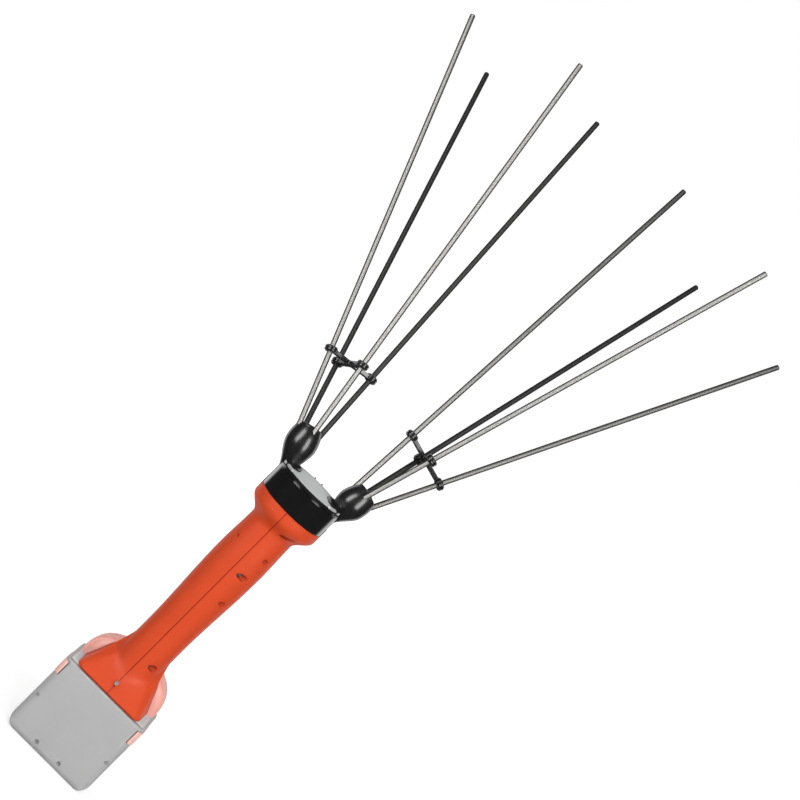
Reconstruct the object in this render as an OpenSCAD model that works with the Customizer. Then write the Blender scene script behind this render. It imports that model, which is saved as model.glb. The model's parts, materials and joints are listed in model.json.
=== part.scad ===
// Hand-held electric olive harvester: battery foot, round grip, gear head,
// two beating arms with four slender rods each.
// +Z runs up the grip, -Y is the front, the origin lies under the battery.

/* [Battery] */
// Width of the battery pack
battery_w = 90; // [86:1:100]
// Depth of the battery pack
battery_d = 72; // [72:1:90]
// Height of the battery pack
battery_h = 78; // [76:1:100]
// Wall of the battery halves
battery_wall = 2.4; // [2:0.1:3]
// Radius of the upright edges of the pack
battery_edge = 8; // [5:0.5:12]
// Radius of the lower edges seen from the front
battery_base_r = 12; // [6:0.5:14]
// Radius of the lower edges seen from the side
battery_toe_r = 6; // [4:0.5:8]
// Diameter of one cell
cell_d = 18.2; // [17:0.1:18.4]
// Length of one cell
cell_l = 65; // [50:1:66]
// Inward travel of the release buttons
button_travel = 2.5; // [1.5:0.1:3]
// Height of the release buttons
button_h = 14; // [10:0.5:14]

/* [Handle] */
// Wall of the handle shells
shell_wall = 2.6; // [2:0.1:3]
// How far the foot stands in from each side of the battery
foot_side = 10.5; // [8:0.5:14]
// How far the foot stands in from the front and back of the battery
foot_step = 3; // [2:0.5:6]
// Height of the foot flare
foot_h = 43; // [38:1:50]
// Radius of the grip at its waist
waist_r = 20.1; // [19.6:0.1:21]
// Radius of the grip at its widest
swell_r = 23.3; // [22.6:0.1:25]
// Radius of the grip under the head
throat_r = 22.2; // [22:0.1:23.5]
// Length of the grip from the flare to the throat
grip_l = 149.5; // [145:0.5:160]
// Height of the curve from throat to head
neck_h = 16; // [12:0.5:20]
// Height of the straight band under the collar
band_h = 8; // [6:0.5:12]
// Outward travel of the trigger
trigger_travel = 5; // [3:0.5:6]
// Height of the trigger face
trigger_h = 32; // [26:1:34]

/* [Head] */
// Outer radius of the collar
collar_r = 33.75; // [33.5:0.25:36]
// Height of the collar
collar_h = 24.5; // [24.5:0.5:28]
// Wall of the collar
collar_wall = 2.75; // [2:0.25:3]
// Thickness of the head cap
cap_t = 2.2; // [1.6:0.1:3]
// How far each arm pivot stands in from the outside of the collar
pivot_in = 9.55; // [9.15:0.05:9.95]
// Height of the arm pivots above the collar base
pivot_up = 5.3; // [5:0.1:6]
// Swing of the arms to each side, degrees
swing = 5; // [2:0.5:5]
// Radius of the pivot pins
pin_r = 2.5; // [2:0.1:2.8]

/* [Arms] */
// Outward tilt of the left arm, degrees
left_tilt = 13.8; // [12:0.1:15]
// Outward tilt of the right arm, degrees
right_tilt = 15.1; // [12:0.1:16]
// Backward lean of the left arm, degrees
left_lean = 18.5; // [16:0.1:19]
// Backward lean of the right arm, degrees
right_lean = 17.2; // [16:0.1:19]
// Length of the left arm from pivot to rod face
left_reach = 54; // [52:0.5:60]
// Length of the right arm from pivot to rod face
right_reach = 46; // [45:0.5:52]
// Turn of the left rod pattern about its arm, degrees
left_turn = 26; // [20:1:32]
// Turn of the right rod pattern about its arm, degrees
right_turn = 4; // [-4:1:12]
// Largest radius of a rod holder
holder_r = 14.2; // [13.8:0.1:16]
// Radius of the rod circle at the rod face
rod_circle_r = 11.2; // [10.8:0.1:11.4]
// Splay of the left rods from their arm, degrees
left_splay = 10; // [9:0.1:11]
// Splay of the right rods from their arm, degrees
right_splay = 11.5; // [10:0.1:12]
// Diameter of a rod
rod_d = 4.6; // [4:0.1:5]
// Length of a rod beyond its holder
rod_l = 384; // [300:1:400]
// Distance of the left spacer from the rod face
left_spacer_at = 68; // [55:1:90]
// Distance of the right spacer from the rod face
right_spacer_at = 63; // [55:1:90]

/* [Drive] */
// Module of the gear teeth
gear_m = 0.8; // [0.75:0.01:0.8]
// Radius of the motor can
motor_r = 14; // [13:0.5:14]
// Length of the motor can
motor_l = 44; // [40:1:46]
// Radius of the motor shaft
shaft_r = 1.6; // [1.4:0.1:2]
// Radius of the crankshaft
crank_r = 5; // [4:0.1:5]

/* [Hidden] */
$fn = 64;
eps = 0.01;
clear = 0.3;
run = 0.05;

// Heights
z_dock = battery_h + 0.4;
dock_t = 4;
z_foot = z_dock + foot_h;
z_waist = z_foot + 18;
z_throat = z_foot + grip_l;
z_swell = z_throat - 37;
z_neck = z_throat + neck_h;
z_collar = z_neck + band_h;
z_cap = z_collar + collar_h;
z_pivot = z_collar + pivot_up;
grip_low = z_foot - 20;
collar_in = collar_r - collar_wall;
pivot_x = collar_r - pivot_in;
foot_w = battery_w - 2 * foot_side;
foot_d = battery_d - 2 * foot_step;

// Gear train: sun, planets and ring share one module
sun_n = 12;
planet_n = 15;
ring_n = sun_n + 2 * planet_n;
mesh_r = gear_m * (sun_n + planet_n) / 2;
ring_out = 19;
z_plate = z_throat - 15.5;
plate_t = 3;
z_gear = z_plate + plate_t + 1;
gear_t = 9;
z_carrier = z_gear + gear_t + 0.6;
carrier_t = 4;
carrier_r = mesh_r + 4.6;
z_cover = z_carrier + carrier_t + 4.4;
cover_t = 3;
bearing_r = 9;
planet_pin_r = 1.5;

// Head frame and levers
frame_t = 3.5;
z_frame = z_collar - 7.5;
ear_r = 5;
ear_t = 4.5;
ear_y = 9;
hub_r = 5.2;
lever_t = 3;
lever_gap = (2 * pivot_x - 24) * sin(swing) + 0.9;
z_lever_left = z_pivot + 6.6;
z_lever_right = z_lever_left + lever_t + lever_gap;
left_throw = (z_lever_left + lever_t / 2 - z_pivot) * sin(swing);
right_throw = (z_lever_right + lever_t / 2 - z_pivot) * sin(swing);
ecc_r = crank_r + 0.5;
ecc_split = (z_lever_left + lever_t + z_lever_right) / 2;
slot_z = z_collar + 7;
hole_x = pivot_x + 5.8;
hole_y = 7.4;
left_hole_r = holder_r - 2;
right_hole_r = holder_r;

// Rods sit at quarter turns, each a few degrees off
left_rods_at = [184, 93, 271, -3];
right_rods_at = [184, 89, 270, -2];

// Battery layout: as many cells as fit, the lowest row spread for the case screws
cell_pitch = cell_d + 0.3;
cell_rows = floor((battery_h - 2 * battery_wall - 14) / cell_pitch);
cells_wide = floor((battery_w - 2 * battery_wall - 6) / cell_pitch);
low_gap = 1.4 * cell_pitch;
low_screw_x = cells_wide % 2 == 0 ? low_gap / 2 : low_gap;
cell_z0 = battery_wall + 1.2 + cell_d / 2;
board_z = cell_z0 + (cell_rows - 1) * cell_pitch + cell_d / 2 + clear;
board_t = 1.6;
board_w = battery_w - 30;
board_d = battery_d - 24;
tower_w = battery_w - 48;
tower_d = battery_d - 42;
tower_h = 13;
button_z = battery_h - 2.6 - button_h;
button_y = battery_d / 2 - 1;
button_l = 32;
button_t = 4.8;
button_proud = 0.6;
blade_x = 8;
blade_w = 8;
blade_t = 1.2;
blade_up = tower_h + 7;
case_screw_r = 1.1;
case_boss_r = 2.3;
case_boss_in = battery_wall + case_boss_r - 0.5;

// Handle fittings: depth, height and recess radius of each cross screw
screw_r = 1.4;
boss_r = 3.4;
screw_y = motor_r + screw_r + 0.5;
shell_screws_at = [
    [-(ring_out + 2.1), z_throat + 7, 2.9],
    [-screw_y, z_plate - 6, 2.2],
    [-(swell_r - 3.7), z_swell - 7, 2.9],
    [-screw_y, z_throat - 73, 2.4],
    [-(waist_r - 5), z_foot - 4.5, 3.1]
];
z_trigger = z_waist + 24;
switch_h = 30;
switch_y = trigger_inner() - trigger_travel - 0.4;
motor_in = motor_r - 1;
z_motor = z_plate - motor_l;
lamp_z = z_throat - 45;
foot_pin_z = z_dock + 12;

// Shared shapes

function ease(a, b, t) = a + (b - a) * (0.5 - 0.5 * cos(180 * t));

// Places of the cells across one row, a full row on every second one
function cell_spots(row) =
    let (n = cells_wide - (row % 2 == 0 ? 1 : 0), gap = row == 0 ? low_gap : cell_pitch)
    [for (i = [0:n - 1]) (i - (n - 1) / 2) * gap];

function trigger_inner() = waist_r - shell_wall - 4.6;

function grip_r(z) =
    z <= z_waist ? waist_r
    : z <= z_swell ? ease(waist_r, swell_r, (z - z_waist) / (z_swell - z_waist))
    : z <= z_throat ? ease(swell_r, throat_r, (z - z_swell) / (z_throat - z_swell))
    : z <= z_neck ? ease(throat_r, collar_r, (z - z_throat) / neck_h)
    : collar_r;

grip_steps = concat(
    [for (i = [0:8]) z_waist + i * (z_swell - z_waist) / 8],
    [for (i = [1:5]) z_swell + i * (z_throat - z_swell) / 5],
    [for (i = [1:8]) z_throat + i * neck_h / 8]
);

// Turned body of the grip, set in by an even amount and longer at both ends
module grip_form(inset, longer) {
    low = grip_low - longer;
    high = z_collar + longer;
    rotate_extrude()
        polygon(concat(
            [[0, low], [waist_r - inset, low]],
            [for (z = grip_steps) [grip_r(z) - inset, z]],
            [[collar_r - inset, high], [0, high]]
        ));
}

// Rectangle with round corners, one radius below and one above
module round_rect(w, h, r_low, r_high) {
    difference() {
        translate([-w / 2, 0]) square([w, h]);
        for (s = [-1, 1]) {
            translate([s * w / 2, 0]) corner_cut(-s, 1, r_low);
            translate([s * w / 2, h]) corner_cut(-s, -1, r_high);
        }
    }
}

// What a round corner takes off a square one
module corner_cut(sx, sy, r) {
    difference() {
        translate([sx > 0 ? -1 : -r, sy > 0 ? -1 : -r]) square(r + 1);
        translate([sx * r, sy * r]) circle(r);
    }
}

// Wedge that spreads from the grip to the square foot
module foot_form(inset) {
    hull() {
        translate([0, 0, z_foot - eps])
            scale([1, 0.3, 1])
            cylinder(r = waist_r - 1.2 - inset, h = eps, $fn = 48);
        for (x = [-1, 1], y = [-1, 1])
            translate([x * (foot_w / 2 - 3), y * (foot_d / 2 - 3), z_dock + 0.2])
                cylinder(r = 3 - min(inset, 2.9), h = 4, $fn = 16);
    }
}

module foot_cavity() {
    hull() {
        translate([0, 0, z_foot - 2])
            scale([1, 0.16, 1])
            cylinder(r = waist_r - shell_wall - 1.2, h = 1, $fn = 48);
        translate([shell_wall - foot_w / 2, shell_wall - foot_d / 2, z_dock - 1])
            cube([foot_w - 2 * shell_wall, foot_d - 2 * shell_wall, 5]);
    }
}

module along_x(y, z) {
    translate([0, y, z]) rotate([0, 90, 0]) children();
}

module along_y(x, z) {
    translate([x, 0, z]) rotate([-90, 0, 0]) children();
}

// Opening left for the trigger in the back of the grip
module trigger_window(grow) {
    translate([-6 - grow, 0, z_trigger - grow])
        cube([12 + 2 * grow, 60, trigger_h + 2 * grow]);
}

// Solid of both shells before they are parted
module handle_body() {
    difference() {
        union() {
            difference() {
                union() {
                    grip_form(0, 0);
                    foot_form(0);
                }
                grip_form(shell_wall, 1);
                foot_cavity();
            }
            shell_ribs();
            for (p = shell_screws_at)
                screw_boss(p[0], p[1]);
        }
        translate([0, 0, z_plate - 0.5])
            cylinder(r = ring_out + clear, h = z_cover + cover_t - z_plate + 1);
        translate([0, 0, z_motor - 6]) cylinder(r = motor_r + 0.4, h = motor_l + 6);
        screw_holes();
        side_vents();
        trigger_window(0);
        dock_space();
        lamp_seat(0, 3);
        translate([0, -foot_d / 2 - 1, foot_pin_z])
            rotate([-90, 0, 0]) cylinder(r = 1.75, h = 20);
    }
}

// Post for one cross screw, cut off inside the wall
module screw_boss(y, z) {
    intersection() {
        along_x(y, z) cylinder(r = boss_r, h = 60, center = true);
        translate([0, 0, z - boss_r - 1])
            cylinder(r = grip_r(z - boss_r) - 0.7, h = 2 * boss_r + 2);
    }
}

// Rings that hold the motor, and rails for switch and board
module shell_ribs() {
    rail_x = sqrt(pow(waist_r - 0.7, 2) - 36);
    for (z = [z_motor + 6, z_plate - 16])
        translate([0, 0, z]) difference() {
            cylinder(r = grip_r(z) - 1, h = 3);
            translate([0, 0, -1]) cylinder(r = motor_r + clear, h = 5);
        }
    for (s = [-1, 1], z = [4, switch_h - 7])
        translate([s > 0 ? 9 + clear : -rail_x, -6, z_trigger + z])
            cube([rail_x - 9 - clear, 12, 3]);
    for (s = [-1, 1])
        translate([s > 0 ? 12.6 : -rail_x, -6, z_waist - 10])
            cube([rail_x - 12.6, 10, 3]);
}

// Through holes with head recesses in the right shell
module screw_holes() {
    for (p = shell_screws_at)
        along_x(p[0], p[1]) {
            translate([0, 0, -8]) cylinder(r = screw_r + run, h = 16);
            translate([0, 0, 7.5]) cylinder(r = p[2], h = 60);
        }
    along_x(-screw_y, z_plate - 6)
        translate([0, 0, -60]) cylinder(r = screw_r + run, h = 60);
}

// Narrow slits beside the motor
module side_vents() {
    for (s = [-1, 1], y = [-5, 0, 5])
        translate([s > 0 ? motor_r + 1 : -60, y - 0.7, z_plate - 8])
            cube([60 - motor_r - 1, 1.4, 7]);
}

// Room that the shells leave for the dock floor
module dock_space() {
    translate([-60, -(foot_d / 2 - shell_wall + 0.2), z_dock - 5])
        cube([120, foot_d - 2 * shell_wall + 0.4, dock_t + 5.2]);
}

// Small oval seat on the back of the right shell
module lamp_seat(shrink, out) {
    lamp_x = 9;
    face = sqrt(pow(grip_r(lamp_z), 2) - pow(lamp_x + 3, 2));
    translate([lamp_x, face - 0.8, lamp_z])
        rotate([-90, 0, 0])
        linear_extrude(0.8 + out)
        union() {
            translate([-1.6, 0]) circle(2.4 - shrink);
            translate([1.6, 0]) circle(2.4 - shrink);
            translate([-1.6, shrink - 2.4]) square([3.2, 4.8 - 2 * shrink]);
        }
}

// Frame of one arm: origin at its pivot, +Z along the arm
module left_place() {
    translate([-pivot_x, 0, z_pivot]) rotate([-left_lean, -left_tilt, 0]) children();
}

module right_place() {
    translate([pivot_x, 0, z_pivot]) rotate([-right_lean, right_tilt, 0]) children();
}

// Place of rod number i on an arm, +Z along the rod, zero at the rod face
module rod_place(i, s) {
    rotate([0, 0, rod_angle(i, s)])
        translate([rod_circle_r, 0, s < 0 ? left_reach : right_reach])
        rotate([0, s < 0 ? left_splay : right_splay, 0])
        children();
}

function rod_angle(i, s) =
    s < 0 ? left_rods_at[i - 1] + left_turn : right_rods_at[i - 1] + right_turn;

// Handle shells

module left_handle_shell() {
    color("#dd5530")
        intersection() {
            handle_body();
            translate([-200, -100, 0]) cube([200, 200, 600]);
        }
}

module right_handle_shell() {
    color("#dd5530")
        intersection() {
            handle_body();
            translate([0, -100, 0]) cube([200, 200, 600]);
        }
}

// Floor of the foot with a fender on each side
module battery_dock() {
    inner_d = foot_d - 2 * shell_wall;
    fender_front = -8;
    fender_back = waist_r + 2;
    color("#e8a592")
        difference() {
            union() {
                translate([-battery_w / 2 + 3, -inner_d / 2, z_dock])
                    cube([battery_w - 6, inner_d, dock_t]);
                difference() {
                    translate([0, fender_back, z_dock])
                        rotate([90, 0, 0])
                        linear_extrude(fender_back - fender_front)
                        fender_outline();
                    foot_form(-0.25);
                    translate([0, 0, grip_low - 0.4])
                        cylinder(r = waist_r + 0.4, h = 60);
                }
                translate([-tower_w / 2 - 4, -tower_d / 2 - 3.4, z_dock])
                    cube([tower_w + 8, tower_d + 6.8, tower_h + 3]);
            }
            translate([-tower_w / 2 - 0.4, -tower_d / 2 - 0.4, z_dock - 1])
                cube([tower_w + 0.8, tower_d + 0.8, tower_h + 1.4]);
            for (s = [-1, 1])
                translate([s * blade_x - blade_t / 2 - 0.4, -blade_w / 2 - 0.4, z_dock])
                    cube([blade_t + 0.8, blade_w + 0.8, 40]);
        }
}

// Front view of the fenders: a dome over the full width of the dock
module fender_outline() {
    half = battery_w / 2 - 3;
    crown = foot_h - 6;
    steps = 16;
    polygon(concat(
        [[-half, 0]],
        [for (i = [0:steps]) let (a = 180 - i * 180 / steps)
            [half * cos(a), 3 + (crown - 3) * pow(sin(a), 0.8)]],
        [[half, 0]]
    ));
}

module foot_pin() {
    color("#9a9a98")
        along_y(0, foot_pin_z)
        translate([0, 0, -foot_d / 2 + 0.9])
        cylinder(r = 1.7, h = 6);
}

module shell_screws() {
    color("#5a5a58")
        for (p = shell_screws_at)
            along_x(p[0], p[1]) {
                translate([0, 0, -7.5]) cylinder(r = screw_r, h = 15 + eps);
                translate([0, 0, 7.5]) cylinder(r = p[2] - 0.4, h = 2);
            }
}

module status_lamp() {
    color("#2b1a14") lamp_seat(0.1, 0.6);
}

// Head

// Round opening for each arm, open to the side of the collar
module arm_hole(grow, z, h) {
    for (s = [-1, 1])
        translate([s * hole_x, hole_y, z])
            cylinder(r = (s < 0 ? left_hole_r : right_hole_r) + grow, h = h);
}

module head_collar() {
    color("#1a1a1a")
        difference() {
            translate([0, 0, z_collar])
                rotate_extrude()
                polygon([
                    [collar_in, 0],
                    [collar_r - 0.6, 0],
                    [collar_r, 0.6],
                    [collar_r, collar_h - 2.4],
                    [collar_r - 0.5, collar_h - 1.9],
                    [collar_r - 0.5, collar_h - 1.5],
                    [collar_r, collar_h - 1],
                    [collar_r - 1, collar_h],
                    [collar_in, collar_h]
                ]);
            arm_hole(0, slot_z, 100);
        }
}

module head_cap() {
    color("#bcbcbc")
        difference() {
            translate([0, 0, z_cap])
                rotate_extrude()
                polygon([
                    [0, 0],
                    [collar_r - 0.9, 0],
                    [collar_r - 0.9, cap_t - 0.8],
                    [collar_r - 1.7, cap_t],
                    [0, cap_t]
                ]);
            arm_hole(1.6, slot_z, 100);
            for (s = [-1, 1])
                translate([s * 4, collar_r - 1.2, z_cap + cap_t])
                    cube([1.8, 3, 3], center = true);
        }
}

// Soft lips round the arm openings
module slot_seals() {
    color("#101010")
        intersection() {
            difference() {
                arm_hole(1.5, z_cap, cap_t + 1.2);
                arm_hole(0, slot_z, 100);
            }
            translate([0, 0, z_cap])
                cylinder(r = collar_r - 0.9, h = cap_t + 1.2);
        }
}

// Cast plate with four ears for the pivot pins
module head_frame() {
    color("#a8aaac")
        difference() {
            union() {
                translate([0, 0, z_frame]) cylinder(r = collar_in - 0.3, h = frame_t);
                intersection() {
                    translate([0, 0, z_frame]) cylinder(r = collar_in - 0.3, h = 60);
                    for (s = [-1, 1], t = [-1, 1])
                        ear(s, t);
                }
                translate([0, 0, z_frame - 4]) cylinder(r = bearing_r + 3, h = 4 + eps);
            }
            translate([0, 0, z_frame - 5]) cylinder(r = bearing_r + 0.02, h = 6.5);
            translate([0, 0, z_frame - 5]) cylinder(r = crank_r + 0.8, h = 20);
            for (s = [-1, 1])
                along_y(s * pivot_x, z_pivot)
                    cylinder(r = pin_r + 0.02, h = 80, center = true);
        }
}

module ear(s, t) {
    y0 = t > 0 ? ear_y : -ear_y - ear_t;
    translate([s * pivot_x - ear_r, y0, z_frame])
        cube([2 * ear_r, ear_t, z_pivot - z_frame]);
    translate([s * pivot_x, y0, z_pivot])
        rotate([-90, 0, 0]) cylinder(r = ear_r, h = ear_t);
}

module pivot_pins() {
    color("#c8cacc")
        for (s = [-1, 1])
            along_y(s * pivot_x, z_pivot)
                cylinder(r = pin_r, h = 2 * (ear_y + ear_t), center = true);
}

// Gearbox

// Outline of a spur gear with plain straight-flanked teeth
module gear_outline(n, add, ded, thick) {
    pr = gear_m * n / 2;
    tip = pr + add;
    root = pr - ded;
    polygon([for (i = [0:n - 1], k = [0:3])
        let (
            out = k == 1 || k == 2,
            r = out ? tip : root,
            w = thick - (out ? add : -ded) * 0.42,
            a = 360 * i / n + (k < 2 ? -1 : 1) * asin(w / 2 / r)
        )
        [r * cos(a), r * sin(a)]]);
}

tooth_add = gear_m * 0.8;
tooth_ded = gear_m * 1.2;
tooth_thick = gear_m * PI / 2 - 0.45;
gap_thick = gear_m * PI / 2 + 0.45;

module gear_housing() {
    color("#8c8e90")
        translate([0, 0, z_plate + plate_t])
        linear_extrude(z_cover - z_plate - plate_t)
        difference() {
            circle(ring_out);
            gear_outline(ring_n, tooth_ded, tooth_add, gap_thick);
        }
}

module motor_plate() {
    color("#9a9c9e")
        translate([0, 0, z_plate])
        difference() {
            cylinder(r = ring_out, h = plate_t);
            translate([0, 0, -1]) cylinder(r = 4.6, h = plate_t + 2);
        }
}

module gearbox_cover() {
    color("#9a9c9e")
        translate([0, 0, z_cover])
        difference() {
            cylinder(r = ring_out, h = cover_t);
            translate([0, 0, -1]) cylinder(r = bearing_r + 0.02, h = cover_t + 2);
        }
}

module crank_bearings() {
    color("#d0d2d4")
        for (z = [z_cover, z_frame + 1.5 - cover_t])
            translate([0, 0, z])
                difference() {
                    cylinder(r = bearing_r, h = cover_t);
                    translate([0, 0, -1]) cylinder(r = crank_r + run, h = cover_t + 2);
                }
}

module planet_carrier() {
    color("#7c7e80")
        translate([0, 0, z_carrier])
        difference() {
            cylinder(r = carrier_r, h = carrier_t);
            translate([0, 0, -1]) cylinder(r = crank_r - 1 + 0.02, h = carrier_t + 2);
            for (a = [0, 120, 240])
                rotate([0, 0, a]) translate([mesh_r, 0, -1])
                    cylinder(r = planet_pin_r + 0.02, h = carrier_t + 2);
        }
}

module planet_pins() {
    color("#c8cacc")
        for (a = [0, 120, 240])
            rotate([0, 0, a]) translate([mesh_r, 0, z_gear])
                cylinder(r = planet_pin_r, h = z_carrier + carrier_t - z_gear);
}

// Shaft with two opposed eccentrics, one under each lever
module crankshaft() {
    color("#b0b2b4")
        union() {
            translate([0, 0, z_carrier]) cylinder(r = crank_r - 1, h = carrier_t + eps);
            translate([0, 0, z_carrier + carrier_t])
                cylinder(r = crank_r, h = z_lever_left - 3 - z_carrier - carrier_t + eps);
            translate([left_throw, 0, z_lever_left - 3])
                cylinder(r = ecc_r, h = ecc_split - z_lever_left + 3 + eps);
            translate([-right_throw, 0, ecc_split])
                cylinder(r = ecc_r, h = z_cap - 1 - ecc_split);
        }
}

module planet_gear(a) {
    color("#b8b09a")
        rotate([0, 0, a]) translate([mesh_r, 0, z_gear])
        linear_extrude(gear_t)
        difference() {
            gear_outline(planet_n, tooth_add, tooth_ded, tooth_thick);
            circle(planet_pin_r + run);
        }
}

module planet_gear_1() { planet_gear(0); }
module planet_gear_2() { planet_gear(120); }
module planet_gear_3() { planet_gear(240); }

module sun_pinion() {
    color("#c0a860")
        translate([0, 0, z_gear])
        linear_extrude(gear_t)
        difference() {
            gear_outline(sun_n, tooth_add, tooth_ded, tooth_thick);
            circle(shaft_r + 0.01);
        }
}

// Motor

module motor_can() {
    color("#a0a2a4")
        translate([0, 0, z_motor])
        difference() {
            union() {
                cylinder(r = motor_r, h = motor_l);
                translate([0, 0, motor_l - eps]) cylinder(r = 4.5, h = 2);
            }
            translate([0, 0, -1]) cylinder(r = motor_in, h = motor_l);
            translate([0, 0, motor_l - 2]) cylinder(r = 3.02, h = 6);
        }
}

module motor_end_bell() {
    color("#1e1e1e")
        translate([0, 0, z_motor - 5])
        difference() {
            cylinder(r = motor_r - 0.4, h = 5);
            translate([0, 0, 2]) cylinder(r = 3.02, h = 6);
        }
}

module motor_bushes() {
    color("#b8863c")
        for (z = [z_motor - 3, z_plate - 1])
            translate([0, 0, z])
                difference() {
                    cylinder(r = 3, h = 3);
                    translate([0, 0, -1]) cylinder(r = shaft_r + run, h = 6);
                }
}

module motor_magnets() {
    color("#3a3a3c")
        for (s = [0, 180])
            rotate([0, 0, s]) translate([0, 0, z_motor + 6])
                intersection() {
                    difference() {
                        cylinder(r = motor_in - 0.1, h = motor_l - 12);
                        translate([0, 0, -1]) cylinder(r = motor_in - 2.6, h = motor_l);
                    }
                    translate([2, -20, -1]) cube([20, 40, motor_l]);
                }
}

module motor_shaft() {
    color("#d0d2d4")
        translate([0, 0, z_motor - 3])
        cylinder(r = shaft_r, h = z_gear + gear_t - z_motor + 3);
}

module motor_armature() {
    color("#8a5a34")
        difference() {
            union() {
                translate([0, 0, z_motor + 8]) cylinder(r = motor_in - 3.2, h = motor_l - 16);
                translate([0, 0, z_motor + 1]) cylinder(r = 4, h = 7 + eps);
            }
            translate([0, 0, z_motor - 1]) cylinder(r = shaft_r + 0.01, h = motor_l);
        }
}

// Controls

module trigger() {
    inner = trigger_inner();
    color("#1c1c1c")
        difference() {
            union() {
                intersection() {
                    translate([-5.7, inner, z_trigger + 0.3])
                        cube([11.4, 30, trigger_h - 0.6]);
                    translate([0, inner, z_trigger + trigger_h / 2])
                        rotate([0, 90, 0])
                        cylinder(r = trigger_h * 0.62, h = 40, center = true);
                    translate([0, 0, z_trigger - 5]) cylinder(r = waist_r + 6.4, h = 60);
                }
                translate([-5.7, inner, z_trigger - 2.4])
                    cube([11.4, 2.6, trigger_h + 4.8]);
            }
            translate([0, inner - 1, z_trigger + trigger_h / 2])
                rotate([-90, 0, 0]) cylinder(r = 3.6, h = 8 + trigger_travel);
        }
}

module switch_body() {
    color("#2a2a2c")
        translate([-9, switch_y - 15, z_trigger + 1])
        cube([18, 15, switch_h]);
}

// Points of a round wire wound along +Y
function coil_point(r, turns, length, t) =
    [r * cos(360 * turns * t), length * t, r * sin(360 * turns * t)];

// Coil spring as one swept tube, twelve rings to a turn
module coil(r, wire, turns, length) {
    rings = turns * 12;
    sides = 6;
    points = [for (i = [0:rings], k = [0:sides - 1])
        let (
            t = i / rings,
            c = coil_point(r, turns, length, t),
            a = 360 * turns * t,
            b = 360 * k / sides
        )
        c + [wire * cos(b) * cos(a), wire * sin(b), wire * cos(b) * sin(a)]];
    sides_faces = [for (i = [0:rings - 1], k = [0:sides - 1], h = [0, 1])
        let (
            k2 = (k + 1) % sides,
            p = i * sides + k,
            q = i * sides + k2
        )
        h == 0 ? [p, q, q + sides] : [p, q + sides, p + sides]];
    caps = concat(
        [for (k = [1:sides - 2]) [0, k + 1, k]],
        [for (k = [1:sides - 2]) [0, k, k + 1] + [1, 1, 1] * rings * sides]
    );
    polyhedron(points, concat(sides_faces, caps), convexity = 10);
}

// Drawn at its pressed length inside the pocket of the trigger
module trigger_spring() {
    color("#b8babc")
        translate([0, switch_y + 0.6, z_trigger + trigger_h / 2])
        coil(2.6, 0.4, 4, 7.2);
}

module controller_board() {
    color("#2f6b3a")
        translate([-12.3, -1, z_waist - 24])
        cube([24.6, 1.6, z_trigger - z_waist + 24]);
}

module wiring() {
    color("#a02c24")
        for (s = [-1, 1]) {
            translate([s * 5, switch_y - 12, z_trigger + switch_h + 1])
                cylinder(r = 1, h = z_motor - 5 - z_trigger - switch_h - 1);
            translate([s * blade_x, -3.4, z_dock + tower_h + 11])
                cylinder(r = 1, h = z_trigger - z_dock - tower_h - 10);
        }
}

// Sprung clips that grip the battery blades
module dock_terminals() {
    color("#c9a24a")
        for (s = [-1, 1], t = [-1, 1])
            translate([s * blade_x + t * (blade_t / 2 + 0.7) - 0.4, -4, z_dock + tower_h + 3])
                cube([0.8, 8, 8]);
}

// Arms

// Turned rod holder: slim neck, pear-shaped swell, domed end
module holder(s) {
    reach = s < 0 ? left_reach : right_reach;
    swell = reach - 10;
    neck_r = 5.2;
    dome = 16;
    steps = 10;
    difference() {
        rotate_extrude()
            polygon(concat(
                [[0, 5]],
                [for (i = [0:steps]) let (t = i / steps)
                    [neck_r + (holder_r - neck_r) * pow(ease(0, 1, t), 1.25), 5 + (swell - 5) * t]],
                [for (i = [1:7]) let (a = 10 * i)
                    [holder_r * cos(a), swell + dome * sin(a)]],
                [[0, swell + dome * sin(70)]]
            ));
        translate([0, 0, 4]) cylinder(r = 3.52, h = 18.05);
        for (i = [1:4])
            rod_place(i, s)
            translate([0, 0, -16]) cylinder(r = rod_d / 2 + 0.02, h = 40);
    }
}

module hub_room(s) {
    along_y(s * pivot_x, z_pivot)
        cylinder(r = hub_r + clear, h = 60, center = true);
}

module left_arm() {
    color("#2a2a29")
        difference() {
            left_place() holder(-1);
            hub_room(-1);
        }
}

module right_arm() {
    color("#2a2a29")
        difference() {
            right_place() holder(1);
            hub_room(1);
        }
}

// Metal lever: hub on the pin, spigot up into the holder, yoke on the crank
module lever(s, tilt, lean, z_yoke, throw_max) {
    travel = (z_yoke + lever_t / 2 - z_pivot) * sin(swing);
    win_x = ecc_r + throw_max + travel + 0.35;
    win_y = ecc_r + throw_max + 0.4;
    yoke_end = win_x + 3.4;
    web_x = 12.6;
    web_t = pivot_x - hub_r + 0.8 - web_x;
    color("#9c9ea0")
        difference() {
            union() {
                along_y(s * pivot_x, z_pivot)
                    cylinder(r = hub_r, h = 2 * (ear_y - 0.3), center = true);
                translate([s * pivot_x, 0, z_pivot])
                    rotate([-lean, s * tilt, 0]) cylinder(r = 3.5, h = 22);
                translate([s > 0 ? web_x : -web_x - web_t, -8.5, z_pivot - 3])
                    cube([web_t, 8, z_yoke + lever_t - z_pivot + 3]);
                translate([s > 0 ? -yoke_end : -web_x - 5, -win_y - 3, z_yoke])
                    cube([web_x + 5 + yoke_end, 2 * win_y + 6, lever_t]);
            }
            along_y(s * pivot_x, z_pivot)
                cylinder(r = pin_r + run, h = 60, center = true);
            translate([-win_x, -win_y, z_yoke - 1])
                cube([2 * win_x, 2 * win_y, lever_t + 2]);
        }
}

module left_lever() {
    lever(-1, left_tilt, left_lean, z_lever_left, right_throw);
}

module right_lever() {
    lever(1, right_tilt, right_lean, z_lever_right, right_throw);
}

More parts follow.
